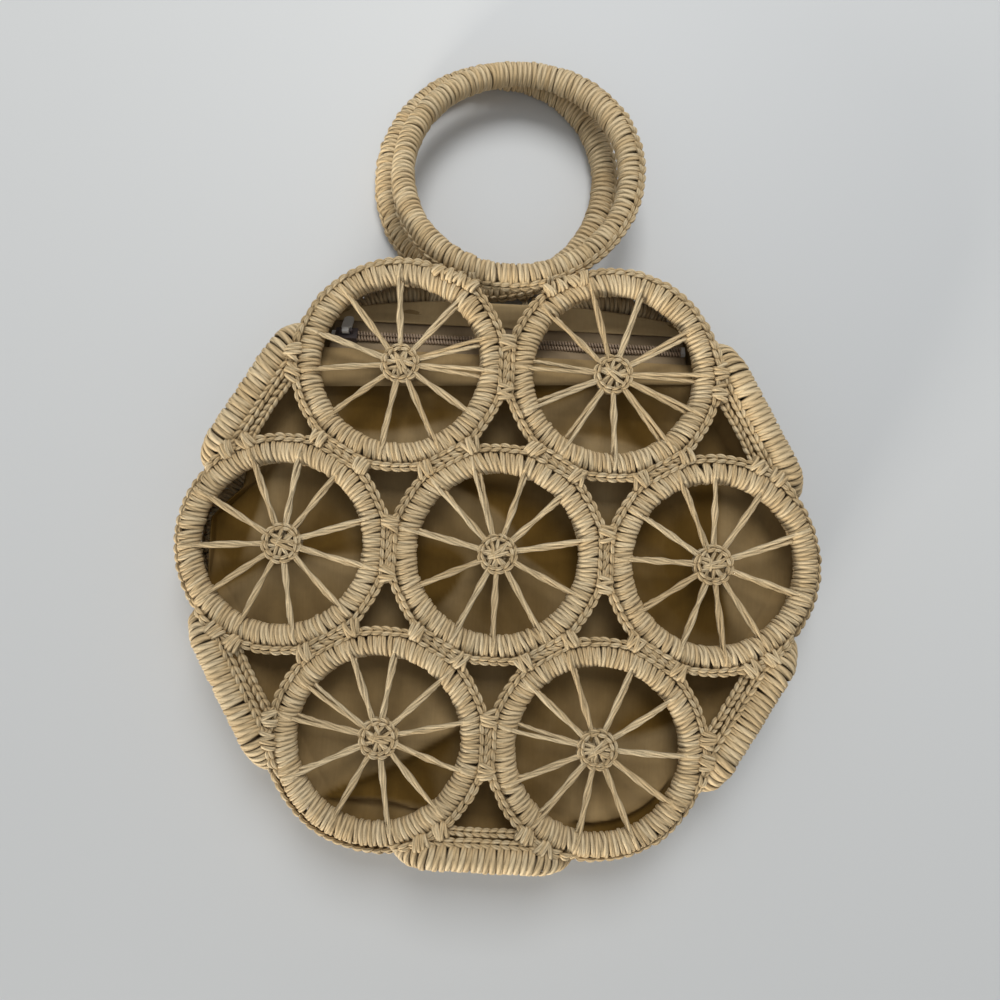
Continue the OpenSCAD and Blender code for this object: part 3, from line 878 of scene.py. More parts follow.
@dataclass
class Sides:
    """What closes the bag's sides: wound bars and crocheted corner strips."""

    bar_stitches: int = 32
    bar_inset: float = 0.0008
    bar_loops: int = 42
    inner_reach: float = 0.1402
    inner_bow: float = 0.0014
    inner_step: float = 0.0043
    inner_ends: tuple[float, float] = (-0.0225, 0.0195)
    net_turn: float = 38.0
    net_reach: float = 0.0552
    net_flare: float = 0.0030
    flare_from: float = 20.0
    flare_over: float = 17.0
    net_rows: int = 7
    net_step: float = 0.0050
    net_swell: float = 0.0016
    slack_swell: float = 0.0042
    slack_place: int = 5

    def net_line(self, place: int, height: float, swell: float, flare: float, tilt: float) -> Line:
        """Middle line of one row of a corner strip.

        It runs round a wheel, and some degrees from the wheel's outward direction it swings out in a smooth
        step towards the end of a bar.

        Args:
            place: number of the wheel.
            height: height of the row.
            swell: how far the row is outside the strip's reach.
            flare: how much farther out it gets towards a bar.
            tilt: how far the row looks up.

        Returns:
            What gives points and directions at places along the row.
        """
        out = 60.0 * (place - 1)
        bar = [(out + 30 * s) % 360 in SIDES.values() for s in BOTH]

        def line(along: Array) -> tuple[Array, Array]:
            """Points and directions at places along the row."""
            angle = np.asarray(along) / self.net_reach
            past = np.degrees(angle) - out
            share = ramp(np.abs(past) - self.flare_from, self.flare_over) * np.where(past < 0, *bar)
            reach = (self.net_reach + swell + flare * ease(share))[..., None]
            flat = polar(1.0, angle)
            return SIZES.wheel_at(place, height) + reach * flat, math.cos(tilt) * flat + math.sin(tilt) * UP

        return line

    def inner_chain(self, work: Work, out: Array, along: Array, seed: int) -> None:
        """Adds a chain that hangs in a slight bow between two knots, inside a bar.

        Args:
            work: where the strands go.
            out: direction of the bar from the middle of the bag.
            along: direction that the bar runs in.
            seed: picks the unevenness.
        """

        def line(place: Array) -> tuple[Array, Array]:
            """Points and directions at places along the bar."""
            reach = self.inner_reach + self.inner_bow * np.cos(place / 0.018)
            point = reach[..., None] * out + place[..., None] * along
            return point + HOME + UP * (SIZES.front_z + 0.0006), UP - 0.3 * out + 0 * point

        chain(work, line, np.arange(*self.inner_ends, self.inner_step), self.inner_step, seed)

    def build(self, finish: Material) -> None:
        """Makes the bars and the corner strips.

        A corner strip is rows of chain round an outer wheel, one over the other from face to face. Its reach
        grows by a half wave towards its middle row, most at the lower left, where the bag is slack.

        Args:
            finish: the yarn's material.
        """
        for n, (side, angle) in enumerate(SIDES.items()):
            out, along = compass(angle)
            middle = (SIZES.bar_middle - self.bar_inset) * out + HOME + UP * SIZES.middle_z
            bar = Stitches(OvalTrack(middle, along, -out), SIZES.bar_wrap, self.bar_stitches, 300 + n,
                           lean=0.0006, chain_gap=0.0013)
            work = Work()
            bar.windings(work)
            step = bar.track.length / self.bar_loops
            chain(work, bar.edge_line, np.arange(self.bar_loops) * step, step, bar.seed)
            self.inner_chain(work, out, along, 700 + n)
            work.piece(f"side_bar_{side}_yarn", finish, f"side_bar_{side}")
        work = Work()
        low, high = SIZES.back_z + 0.0040, SIZES.front_z - 0.0026
        for i in range(1, 7):
            swell = self.slack_swell if i == self.slack_place else self.net_swell
            ends = np.radians(60 * (i - 1) + np.array([-self.net_turn, self.net_turn])) * self.net_reach
            for row in range(self.net_rows):
                share = row / (self.net_rows - 1)
                bulge = math.sin(math.pi * (0.1 + 0.8 * share)) ** 0.7
                line = self.net_line(i, low + (high - low) * share, swell * bulge,
                                     self.net_flare * (bulge - 0.35), math.radians(50 * (share - 0.5)))
                chain(work, line, np.arange(*ends, self.net_step), self.net_step, 400 + 10 * i + row, 0.0012,
                      0.0015, -1 if row % 2 else 1)
        work.piece("corner_nets_yarn", finish, "corner_nets")


@dataclass
class Handles:
    """The two ring handles and the yarn that ties them to the upper wheels."""

    stitches: int = 70
    loops: int = 84
    knot_xs: tuple[float, ...] = (0.0205, 0.0262, 0.0319, 0.0376)
    front_drops: tuple[float, ...] = (-0.0066, -0.0036, -0.0014, 0.0002)
    leg: float = 0.0009

    def tracks(self) -> tuple[RingTrack, RingTrack]:
        """Middle lines of the handles; the front one leans back onto the other.

        Returns:
            The front handle's, and the back one's.
        """
        y, z = SIZES.front_swing
        lay = SIZES.lay_angle
        ahead, up = np.array([0, math.cos(lay), -math.sin(lay)]), np.array([0, math.sin(lay), math.cos(lay)])
        middle = np.array([0, y, z]) + (SIZES.front_handle_y - y) * ahead + (SIZES.front_z - z) * up
        back = np.array([-SIZES.handle_shift, SIZES.back_handle_y, SIZES.back_handle_z])
        return RingTrack(middle + HOME, SIZES.handle, 1, tuple(ahead)), RingTrack(back + HOME, SIZES.handle)

    def lashing(self, face: Face, work: Work) -> None:
        """Adds the knots and the legs that hold one handle.

        The knots lie along the swing line on each side of its middle. From every knot a leg runs down to
        the edge of the wheel under it.

        Args:
            face: the handle's face.
            work: where the yarn goes.
        """
        front = face is Face.FRONT
        y, z = SIZES.front_swing if front else SIZES.back_swing
        wheel_z = SIZES.front_z + 0.0025 if front else SIZES.back_z
        middle_x, slope = (0.0, 0.6) if front else (-SIZES.handle_shift, 0.0)
        drop, sink = (np.array(self.front_drops), 0.0016) if front else (0.0, 0.0)
        half, loops, yarn = (((0.0019, 0.0031, 0.0021), 4, 0.00112) if front
                             else ((0.0013, 0.0012, 0.0012), 3, 0.00075))
        for s in BOTH:
            across = middle_x + s * np.array(self.knot_xs)
            knots(work, join(across, y + SIZES.shift_y + drop, z - sink), np.array([1.0, slope * s, 0.0]),
                  UP * face.value, half, 600 + s + face.value, loops, yarn)
            edge = np.sqrt(SIZES.edge_out**2 - (SIZES.pitch / 2 - np.abs(across)) ** 2) + SIZES.row_y - 0.0016
            for k in (-self.leg, self.leg):
                top, foot = join(across + k, y, z), join(across + 1.5 * k, edge, wheel_z)
                guides = np.stack([top, (top + foot) / 2 + UP * 0.0005 * face.value, foot], 1)
                work.sweep(smooth(guides + HOME, 10), np.array([1.0, 0, 0]), self.leg, self.leg, seed=620)

    def build(self, finish: Material) -> None:
        """Makes the handles and their lashings.

        Args:
            finish: the yarn's material.
        """
        for face, track, sway in zip(Face, self.tracks(), (40, 16)):
            ring = Stitches(track, SIZES.handle_wrap - 0.0004, self.stitches, 500 + len(face.word),
                            chain_turn=math.radians(-2), chain_sway=math.radians(sway),
                            chain_tilt=math.radians(24), chain_gap=0.0006, lean=0.0009)
            work = Work()
            ring.windings(work)
            step = track.length / self.loops
            chain(work, ring.edge_line, np.arange(self.loops) * step, step, ring.seed)
            work.piece(f"{face.word}_handle_yarn", finish, f"{face.word}_handle",
                       body=f"{face.word}_handle_body")
            work = Work()
            self.lashing(face, work)
            work.piece(f"{face.word}_handle_lashings", finish, f"{face.word}_handle_ties")


def hexagon_gap(x: Array, y: Array, reach: float) -> Array:
    """How far inside the lining's outline a point lies.

    The outline is the hexagon through the outer wheels' middles, grown by the reach. Inside the hexagon the
    distance to it is the largest of the distances past its six sides; outside, the distance to its nearest
    edge.

    Args:
        x: places across, from the centre wheel.
        y: places up, from the centre wheel.
        reach: how far the outline is outside the hexagon.

    Returns:
        Distance to the outline, positive inside it.
    """
    best = np.full(np.broadcast(x, y).shape, -1.0)
    outside = np.full(best.shape, np.inf)
    for k in range(6):
        a = math.radians(60 * k + 30)
        out = x * math.cos(a) + y * math.sin(a) - SIZES.row_y
        along = -x * math.sin(a) + y * math.cos(a)
        past = np.maximum(np.abs(along) - SIZES.pitch / 2, 0)
        best = np.maximum(best, out)
        outside = np.minimum(outside, np.where(out > -1e-9, np.hypot(out, past), np.inf))
    return reach - np.where(best <= 0, best, outside)


def half_width(y: Array, reach: float) -> Array:
    """Half the width of the lining's outline at a height above the centre wheel.

    Near the middle it is the arc round a side wheel, then the slanted side, then the arc round an upper or
    lower wheel.

    Args:
        y: places up, from the centre wheel.
        reach: how far the outline is outside the hexagon.

    Returns:
        Half the width at each place.
    """
    up = np.abs(y)
    arc = SIZES.pitch + np.sqrt(np.maximum(reach**2 - up**2, 0))
    slant = (SIZES.row_y + reach - up / 2) / math.sin(math.radians(60))
    top = SIZES.pitch / 2 + np.sqrt(np.maximum(reach**2 - (up - SIZES.row_y) ** 2, 0))
    return np.where(up < reach / 2, arc, np.where(up < SIZES.row_y + reach / 2, slant, top))


@dataclass(frozen=True)
class Fold:
    """A fold of the lining: a crest between two places, steep on one side and gentle on the other.

    Attributes:
        start: one end, across and up from the centre wheel.
        end: the other end.
        high: height of the crest.
        gentle: how far the gentle side reaches, to the left of the way from start to end.
        steep: how far the steep side reaches.
        bow: how far the crest bends to the left.
        turn: how wide the crest's rounding is, where its shade turns over.
    """

    start: tuple[float, float]
    end: tuple[float, float]
    high: float
    gentle: float
    steep: float
    bow: float
    turn: float = 0.0013

    def shape(self, x: Array, y: Array) -> Array:
        """Shape of the fold over the layer.

        Across the crest the height dies away as a power of e, fast on the steep side. Along it, the crest
        fades past its ends.

        Args:
            x: places across, from the centre wheel.
            y: places up, from the centre wheel.

        Returns:
            Height of the fold, and how lit it is, from -1 to 1.
        """
        start, end = np.array(self.start), np.array(self.end)
        size = np.linalg.norm(end - start)
        way = (end - start) / size
        share = ((x - start[0]) * way[0] + (y - start[1]) * way[1]) / size
        left = -(x - start[0]) * way[1] + (y - start[1]) * way[0]
        left = left - self.bow * np.sin(math.pi * np.clip(share, 0, 1))
        fade = ease(ramp(share + 0.25, 0.4) * ramp(1.25 - share, 0.4))
        right = np.maximum(-left, 0)
        gentle = np.exp(-np.maximum(left, 0) / self.gentle)
        turn = 1 / (1 + np.exp(-left / self.turn))
        lit = turn * gentle - (1 - turn) * np.exp(-right / (3.5 * self.steep))
        height = self.high * np.where(left > 0, gentle, np.exp(-right / self.steep))
        return np.stack([fade * height, fade * lit])


FOLDS = (
    Fold((-0.0740, -0.0046), (-0.1475, -0.0270), 0.0060, 0.022, 0.005, -0.006),
    Fold((0.0119, 0.0094), (-0.0293, 0.0363), 0.0050, 0.009, 0.005, -0.003),
    Fold((0.0410, -0.0203), (0.0075, 0.0020), 0.0040, 0.009, 0.005, -0.002),
    Fold((-0.0853, -0.1307), (-0.0163, -0.0929), 0.0060, 0.030, 0.003, -0.002),
    Fold((-0.0290, -0.1360), (-0.0810, -0.1310), 0.0070, 0.004, 0.005, -0.003),
    Fold((0.1080, -0.0790), (0.0633, -0.0947), 0.0040, 0.020, 0.004, 0.003),
    Fold((0.0480, -0.1365), (0.0950, -0.1130), 0.0090, 0.006, 0.004, -0.007),
    Fold((0.0504, 0.0928), (0.0085, 0.0784), 0.0045, 0.020, 0.004, 0.002),
    Fold((0.1180, 0.0389), (0.1252, -0.0303), 0.0040, 0.022, 0.014, -0.004),
    Fold((-0.1204, 0.0414), (-0.1370, -0.0050), 0.0035, 0.020, 0.010, 0.0),
    Fold((-0.0160, -0.0060), (-0.0300, -0.0300), 0.0020, 0.006, 0.010, 0.002),
    Fold((0.0820, 0.0560), (0.0300, 0.0640), 0.0035, 0.016, 0.006, -0.004),
    Fold((-0.0300, 0.0700), (-0.0840, 0.0620), 0.0030, 0.020, 0.008, 0.003),
)
SLACK_LINES = (((-0.1523, 0.0), (-1.0, 0.0)), ((-0.1523, 0.0126), (-0.670, 0.742)))


def creases(x: Array, y: Array, seed: int, count: int = 7) -> Array:
    """Soft folds of thin cloth: sharp-topped waves in several directions, each bent by a slow wave.

    Args:
        x: places across.
        y: places up.
        seed: picks the directions.
        count: number of waves.

    Returns:
        Heights from about 0 to 1.
    """
    rng = np.random.default_rng(seed)
    height = np.zeros(np.broadcast(x, y).shape)
    weight = 0.0
    for _ in range(count):
        angle = rng.uniform(0, math.pi)
        length = rng.uniform(0.030, 0.085)
        run = x * math.cos(angle) + y * math.sin(angle)
        side = -x * math.sin(angle) + y * math.cos(angle)
        bend = rng.uniform(0.3, 1.3) * np.sin(side / rng.uniform(0.02, 0.05) + rng.uniform(0, TAU))
        fade = 0.5 + 0.5 * np.sin(side / rng.uniform(0.025, 0.06) + run / 0.06 + rng.uniform(0, TAU))
        share = rng.uniform(0.5, 1.0) * length
        height = height + share * fade * (1 - np.abs(np.sin(math.pi * run / length + bend))) ** 1.4
        weight += 0.5 * share
    return height / weight


def tucked(x: Array, y: Array) -> tuple[Array, Array]:
    """The lining's outline drawn in at the left, where the bag is slack.

    A place past one of two straight lines keeps an eighth of its distance from that line.

    Args:
        x: places across, from the centre wheel.
        y: places up, from the centre wheel.

    Returns:
        The places after that.
    """
    for (px, py), (nx, ny) in SLACK_LINES:
        past = np.maximum((x - px) * nx + (y - py) * ny, 0)
        inside = past * 0.875 * ramp(0.056 - y, 0.018) * ramp(-0.10 - x, 0.01)
        x, y = x - inside * nx, y - inside * ny
    return x, y


def sheet(name: str, cut: tuple[Array, Array], finish: Material, thick: float, slot: str, *nodes: str,
          tones: Array | float = 0.5) -> None:
    """Args:
        name: name of the piece.
        cut: grid of points, and their places on the flat cloth.
        finish: its material.
        thick: thickness of the cloth.
        slot: material slot of the record.
        nodes: nodes that it replaces.
        tones: how pale it is, at each point or everywhere.
    """
    grid, places = cut
    work = Work()
    work.surface(*(part[:, ::-1] for part in (grid, places, np.broadcast_to(tones, grid.shape[:2]))))
    thing = work.piece(name, finish, *nodes, slot=slot)
    wall = thing.modifiers.new("cloth", "SOLIDIFY")
    wall.thickness, wall.offset = thick, 0.0
    a = places[1:, 1:] - places[:-1, :-1]
    b = places[1:, :-1] - places[:-1, 1:]
    area = 0.5 * np.abs(a[..., 0] * b[..., 1] - a[..., 1] * b[..., 0]).sum()


@dataclass
class Lining:
    """The cotton lining: two layers joined at the sides, and the mouth with its hem and facing."""

    cloth: float = 0.0006
    hem_cloth: float = 0.0003
    round_over: float = 0.006
    slack: float = 0.0080
    sag: float = 0.0098
    back_past: float = 0.0335
    seam_apart: float = 0.0008
    columns: int = 224
    rows: int = 204
    strip_columns: int = 160
    fold_half: float = 0.00045
    fold_out: float = 0.0002
    facing_tone: float = 0.95

    def lift(self, x: Array) -> Array:
        """How far the mouth's back edge rises over its seam, most between the two upper wheels."""
        return 0.0012 + 0.0085 * np.exp(-((x / 0.082) ** 4))

    def grid(self, top: float, reach: float, slack: float, coarse: int) -> tuple[Array, Array]:
        """Places of one layer's points, closer together near its edges.

        Args:
            top: height of its upper edge.
            reach: how far its outline is outside the hexagon.
            slack: how much wider it is beside the upper and lower bars.
            coarse: how many times fewer points it has.

        Returns:
            Places across and up, from the centre wheel.
        """
        t = np.linspace(0, 1, self.rows // coarse)
        t = np.where(t < 0.2, 0.2 * (1 - np.cos(t / 0.2 * math.pi / 2)), t)
        low = -(SIZES.row_y + reach)
        y = (low + (top - low) * t)[:, None]
        widest = math.pi / 2 * 0.93
        across = np.sin(np.linspace(-1, 1, self.columns // coarse) * widest) / math.sin(widest)
        beside = np.clip(1 - np.abs(np.abs(y) - 0.074) / 0.028, 0, 1)
        x = across * (half_width(y, reach) + slack * np.sqrt(beside) * (y < 0.1))
        return x, y + 0 * x

    def front_folds(self, x: Array, y: Array, soft: Array) -> tuple[Array, Array]:
        """Sag of the front layer under its folds, and its painted light and shade.

        The tone is painted light and shade: it grows with the creases' tops, with the lit sides of the folds,
        and in the six small windows between three wheels, where it dies away as a bell round each window's
        middle;
        the crease valleys and the shaded sides of the folds are painted darker.

        Args:
            x: places across, from the centre wheel.
            y: places up, from the centre wheel.
            soft: height of the soft creases, 0 to 1.

        Returns:
            Depth under the level of the layer, and tones from 0 to 1 that paint light and shade.
        """
        high, lit = np.sum([fold.shape(x, y) for fold in FOLDS], axis=0)
        fine = creases(2.6 * x, 2.6 * y, 31) - 0.5
        depth = np.clip(self.sag - 0.0045 * soft - 0.0006 * fine - high, 0, self.sag)
        far = np.hypot(x, y)
        # Painted light in the six small windows between three wheels, twice as strong at the upper right.
        turn = np.mod(np.arctan2(y, x), math.pi / 3) - math.pi / 6
        window = bell(far - SIZES.pitch / math.sqrt(3), 0.012) * bell(turn * far, 0.012)
        window = window * np.where((x > 0.03) & (y > 0.01), 2.0, 1.0)
        # Painted light and shade: paler on crease tops, lit fold sides and the windows, darker in the
        # valleys.
        return depth, np.clip(0.17 + 0.42 * soft + 0.11 * fine + 0.40 * lit + 0.34 * window, 0, 1)

    def layer(self, face: Face) -> tuple[tuple[Array, Array], Array]:
        """One layer of the pouch, from its seam at the sides in to its middle.

        Height is the layer's own level, less folds and sag, and falls as a quarter of an oval to the seam.

        Args:
            face: which layer.

        Returns:
            Grid of points and their places on the flat cloth, and how pale each is, as painted light and
            shade.
        """
        front = face is Face.FRONT
        reach = SIZES.lining_out - 0.0005
        top = SIZES.mouth_front_y + (0.0 if front else self.back_past)
        slack = self.slack if front else 0.0
        x, y = self.grid(top, reach, slack, 1 if front else 2)
        cut = join(x, y)
        gap = np.maximum(hexagon_gap(x, y, reach), 0)
        rise = np.sqrt(1 - (1 - ramp(gap, self.round_over)) ** 2)
        soft = np.clip(creases(x, y, 11 if front else 23), 0, 1.3) / 1.3
        # The back layer's tone is painted light and shade too: paler on its creases' tops, darker in their
        # valleys.
        depth, tone = self.front_folds(x, y, soft) if front else (-0.0035 * soft, 0.3 + 0.3 * soft)
        depth = depth * ramp(gap - 0.001, 0.010) * ramp(top - y, 0.02)
        level = SIZES.lining_top - self.cloth / 2 if front else SIZES.lining_low + self.cloth / 2
        seam = SIZES.middle_z - (0.0 if front else self.seam_apart)
        z = seam + (level - seam) * rise - depth
        y = y - slack * np.sqrt(np.clip(1 - np.abs(x) / 0.03, 0, 1)) * ramp(-y - 0.12, 0.03)
        if not front:
            y = y + self.lift(x) * ramp(y - top + 0.02, 0.02)
        return (join(*tucked(x, y), z) + HOME, cut), tone

    def strip(self, v_fold: float, v_end: float, v_back: float) -> tuple[Array, Array]:
        """A strip of cloth folded over itself along the zipper's window, for the hem and the facing.

        Its profile runs on the slope from its far edge to the fold, half round the fold, and back under. Past
        either end of the slope it lies level. The hem's lower edge hangs lower at the left.

        Args:
            v_fold: where the fold is, up the slope.
            v_end: where the upper layer ends.
            v_back: where the under layer ends.

        Returns:
            Grid of points and their places on the flat cloth.
        """
        toward = 1 if v_end > v_fold else -1
        half = self.fold_half
        tip = v_fold + toward * half
        turn = np.linspace(0, math.pi, 9)[1:-1]
        v = np.concatenate([np.linspace(v_end, tip, 9), tip - toward * half * np.sin(turn),
                            np.linspace(tip, v_back, 7)])[:, None]
        w = np.concatenate([np.full(9, half), half * np.cos(turn), np.full(7, -half)])[:, None]
        cos, sin = math.cos(SIZES.mouth_angle), math.sin(SIZES.mouth_angle)
        x = np.linspace(-1, 1, self.strip_columns) * half_width(SIZES.mouth_front_y + v * cos,
                                                                SIZES.lining_out - SIZES.mouth_in)
        near = np.clip(1 - np.abs(v - v_fold) / abs(v_end - v_fold), 0, 1)
        v = v + (1 - near) * (self.lift(x) if toward > 0 else 0.055 * x - 0.0065)
        run = np.concatenate([[0], np.cumsum(np.hypot(np.diff(v.mean(1)), np.diff(w[:, 0])))])[:, None]
        ripple = np.sin(math.pi * near) * (0.00045 + 0.0004 * np.sin(x / 0.011 + 2.5 * np.sin(x / 0.037)))
        lift = self.fold_out + w + np.sign(w) * ripple
        y = SIZES.mouth_front_y + v * np.where(v > 0, cos, 1.0) + lift * sin
        z = np.maximum(SIZES.lining_top - np.maximum(v, 0) * sin, SIZES.lining_low) + lift * cos
        return join(x, y, z) + HOME, join(x, run)

    def build(self, finish: Material) -> None:
        """Makes the pouch and the mouth.

        Args:
            finish: the cotton's material.
        """
        for face, more in ((Face.FRONT, ("lining_side",)), (Face.BACK, ())):
            cut, tones = self.layer(face)
            sheet(f"lining_{face.word}_cloth", cut, finish, self.cloth, "lining_cloth",
                  f"lining_{face.word}", *more, tones=tones)
        sheet("mouth_hem_cloth", self.strip(SIZES.hem, 0.0, 0.002), finish, self.hem_cloth, "lining_cloth",
              "mouth_hem")
        facing = self.strip(SIZES.mouth_len - SIZES.facing, SIZES.mouth_len, SIZES.mouth_len)
        sheet("mouth_facing_cloth", facing, finish, self.hem_cloth, "lining_cloth", "mouth_facing",
              tones=self.facing_tone)


@dataclass
class Zipper:
    """The zipper: woven tapes and coiled teeth. Its stops, slider and pull are the solids."""

    tooth_step: float = 0.0016
    coil_middle: float = 0.0018
    coil_swing: float = 0.0013
    coil_rise: float = 0.0008
    coil_out: float = 0.0002
    wire: tuple[float, float] = (0.00058, 0.00040)
    tape: float = 0.0007
    tape_deep: float = -0.0013
    tape_under: float = 0.002
    columns: int = 160
    rows: int = 8

    def on_slope(self, x: Array, v: Array, w: Array) -> Array:
        """Points given across, up the mouth's slope and out of it."""
        s, c = math.sin(SIZES.mouth_angle), math.cos(SIZES.mouth_angle)
        return join(x, SIZES.mouth_front_y + v * c + w * s, SIZES.lining_top - v * s + w * c) + HOME

    def coil(self, side: int, name: str, finish: Material) -> None:
        """One row of teeth: a wire coil that loops over the tape's edge.

        Args:
            side: +1 for the upper row, -1 for the lower one.
            name: its name.
            finish: its material.
        """
        turns = int(SIZES.zip_len / self.tooth_step)
        t = np.linspace(0, 1, turns * 10)
        angle = TAU * turns * t + (math.pi if side > 0 else 0)
        x = (t - 0.5) * SIZES.zip_len
        middle = SIZES.slit + side * self.coil_middle
        paths = self.on_slope(x, middle + self.coil_swing * np.cos(angle),
                              self.coil_out + self.coil_rise * np.sin(angle))[None]
        work = Work()
        work.sweep(paths, unit(paths - self.on_slope(x, middle, self.coil_out)), *self.wire, sides=5)
        work.piece(f"zip_coil_{name}_wire", finish, f"zip_coil_{name}", slot="zip_teeth")

    def cut(self, low: float, high: float) -> tuple[Array, Array]:
        """A tape between two places up the slope, a little rippled.

        Args:
            low: its lower edge.
            high: its upper edge.

        Returns:
            Grid of points and their places on the flat cloth.
        """
        v = np.linspace(low, high, self.rows)[:, None]
        y = SIZES.mouth_front_y + v * math.cos(SIZES.mouth_angle)
        half = np.minimum(SIZES.window, half_width(y, SIZES.lining_out - SIZES.mouth_in))
        x = np.linspace(-1, 1, self.columns) * half
        ripple = 0.0006 * np.sin(x / 0.013 + 3 * np.sin(x / 0.04) + v * 60) * np.sin(v * 200 + x * 30)
        z = SIZES.lining_top - v * math.sin(SIZES.mouth_angle)
        z = z + (self.tape_deep + ripple) / math.cos(SIZES.mouth_angle)
        return join(x, y, z) + HOME, join(x, v)

    def build(self, made: dict[str, Material]) -> None:
        """Makes the tapes and the coils.

        Args:
            made: materials by the finish's name.
        """
        gap = self.tape
        window = SIZES.mouth_len - SIZES.facing
        for name, low, high in (("upper", SIZES.slit + gap, window + self.tape_under),
                                ("lower", SIZES.hem - self.tape_under, SIZES.slit - gap)):
            sheet(f"zip_tape_{name}_cloth", self.cut(low, high), made["tape"], self.tape, "zip_tape",
                  f"zip_tape_{name}")
        for side, name in ((1, "upper"), (-1, "lower")):
            self.coil(side, name, made["teeth"])


@dataclass(frozen=True)
class Value:
    """An output of a node that can be reckoned with: each step adds a Math node to its tree."""

    socket: bpy.types.NodeSocket

    def out(self, key: str | int) -> Value:
        """Another output of the same node."""
        return Value(self.socket.node.outputs[key])

    def do(self, how: str, other: Value | float = 0.0) -> Value:
        """Adds a Math node on this value and another."""
        return add(self.socket.id_data, "Math", {0: self, 1: other}, operation=how)

    def __add__(self, other: Value | float) -> Value:
        """Sum."""
        return self.do("ADD", other)

    def __mul__(self, other: Value | float) -> Value:
        """Product."""
        return self.do("MULTIPLY", other)

    def __pow__(self, other: float) -> Value:
        """Power."""
        return self.do("POWER", other)


def fill(node: bpy.types.Node, inputs: dict) -> None:
    """Links or sets inputs of a node.

    Args:
        node: the node.
        inputs: what each input gets, by its name or number.
    """
    for key, value in inputs.items():
        if isinstance(value, Value):
            node.id_data.links.new(value.socket, node.inputs[key])
        else:
            node.inputs[key].default_value = value


def add(tree: NodeTree, kind: str, inputs: dict | None = None, **settings: object) -> Value:
    """Adds a node.

    Args:
        tree: tree of nodes.
        kind: type of the node, without its common start.
        inputs: what its inputs get.
        settings: properties of the node.

    Returns:
        Its first output.
    """
    node = tree.nodes.new("ShaderNode" + kind)
    for key, value in settings.items():
        setattr(node, key, value)
    fill(node, inputs or {})
    return Value(node.outputs[0])


def group(name: str, inputs: dict[str, float],
          outputs: tuple[str, ...]) -> tuple[NodeTree, dict[str, Value], bpy.types.Node]:
    """Starts a node group.

    Args:
        name: name of the group.
        inputs: each input's default value.
        outputs: names of its outputs.

    Returns:
        The group, its inputs' values by name, and the node that takes its outputs.
    """
    tree = bpy.data.node_groups.new(name, "ShaderNodeTree")
    kind = "NodeSocketFloat"
    for key, value in inputs.items():
        tree.interface.new_socket(name=key, in_out="INPUT", socket_type=kind).default_value = value
    for key in outputs:
        tree.interface.new_socket(name=key, in_out="OUTPUT", socket_type=kind)
    got = tree.nodes.new("NodeGroupInput")
    return tree, {key: Value(got.outputs[key]) for key in inputs}, tree.nodes.new("NodeGroupOutput")


def mottle_group() -> NodeTree:
    """Uneven colour: coarse noise plus fine noise on object coordinates.

    Returns:
        A group with Scale and Amount in, and Shade, around 1, and Grain, 0 to 1, out.
    """
    tree, got, put = group("mottle", {"Scale": 40.0, "Amount": 0.2}, ("Shade", "Grain"))
    spot = add(tree, "TexCoord").out("Object")
    coarse = add(tree, "TexNoise", {"Vector": spot, "Scale": got["Scale"], "Detail": 3.0})
    fine = add(tree, "TexNoise", {"Vector": spot, "Scale": got["Scale"] * 22.0, "Detail": 2.0})
    fill(put, {"Shade": (coarse + fine * 0.6 + -0.8) * got["Amount"] * 2.0 + 1.0, "Grain": fine})
    return tree


def weave_group() -> NodeTree:
    """Plain weave on the cloth's own flat places: threads over and under each other both ways.

    Returns:
        A group with Threads per metre in, and Height and Shade, 0 to 1, out.
    """
    tree, got, put = group("weave", {"Threads": 2400.0}, ("Height", "Shade"))
    flat = add(tree, "UVMap", uv_map="lie")
    across = add(tree, "SeparateXYZ", {0: flat})
    turn = got["Threads"] * math.pi
    both = (across * turn).do("SINE") * (across.out(1) * turn).do("SINE")
    streak = add(tree, "Mapping", {"Vector": flat, "Scale": (900.0, 60.0, 1.0)})
    noise = add(tree, "TexNoise", {"Vector": streak, "Scale": 1.0, "Detail": 3.0})
    fill(put, {"Height": both * 0.5 + 0.5, "Shade": noise})
    return tree


@dataclass(frozen=True)
class Finish:
    """A plain finish, and what the finishes of all pieces share."""

    name: str
    color: Point
    roughness: float = 0.8
    metallic: float = 0.0
    specular: float = 0.5

    def dress(self, tree: NodeTree, groups: dict[str, NodeTree]) -> dict[str, Value]:
        """What the shader's inputs get, beside the plain values.

        Args:
            tree: the material's tree.
            groups: the shared node groups.

        Returns:
            Values by the input's name.
        """
        return {}

    def make(self, groups: dict[str, NodeTree]) -> Material:
        """Builds the material.

        Args:
            groups: the shared node groups.

        Returns:
            The material.
        """
        material = bpy.data.materials.new(self.name)
        material.use_nodes = True
        plain = {"Base Color": (*self.color, 1), "Roughness": self.roughness, "Metallic": self.metallic,
                 "Specular IOR Level": self.specular}
        fill(material.node_tree.nodes["Principled BSDF"], plain | self.dress(material.node_tree, groups))
        return material

    def tinted(self, tree: NodeTree, dark: Point, pale: Point, shade: Value) -> Value:
        """A colour between two by the piece's tone, times a shade.

        Args:
            tree: the material's tree.
            dark: colour at tone 0.
            pale: colour at tone 1.
            shade: what it is multiplied by.

        Returns:
            The colour.
        """
        tone = add(tree, "Attribute", attribute_name="tone").out("Fac")
        tint = add(tree, "Mix", {0: tone, 6: (*dark, 1), 7: (*pale, 1)}, data_type="RGBA").out(2)
        return add(tree, "VectorMath", {0: tint, "Scale": shade}, operation="SCALE")

    def bump(self, tree: NodeTree, strength: float, distance: float, height: Value) -> Value:
        """Small relief of the surface.

        Args:
            tree: the material's tree.
            strength: share of the relief that shows.
            distance: its depth.
            height: where it stands out.

        Returns:
            The normal.
        """
        return add(tree, "Bump", {"Strength": strength, "Distance": distance, "Height": height})


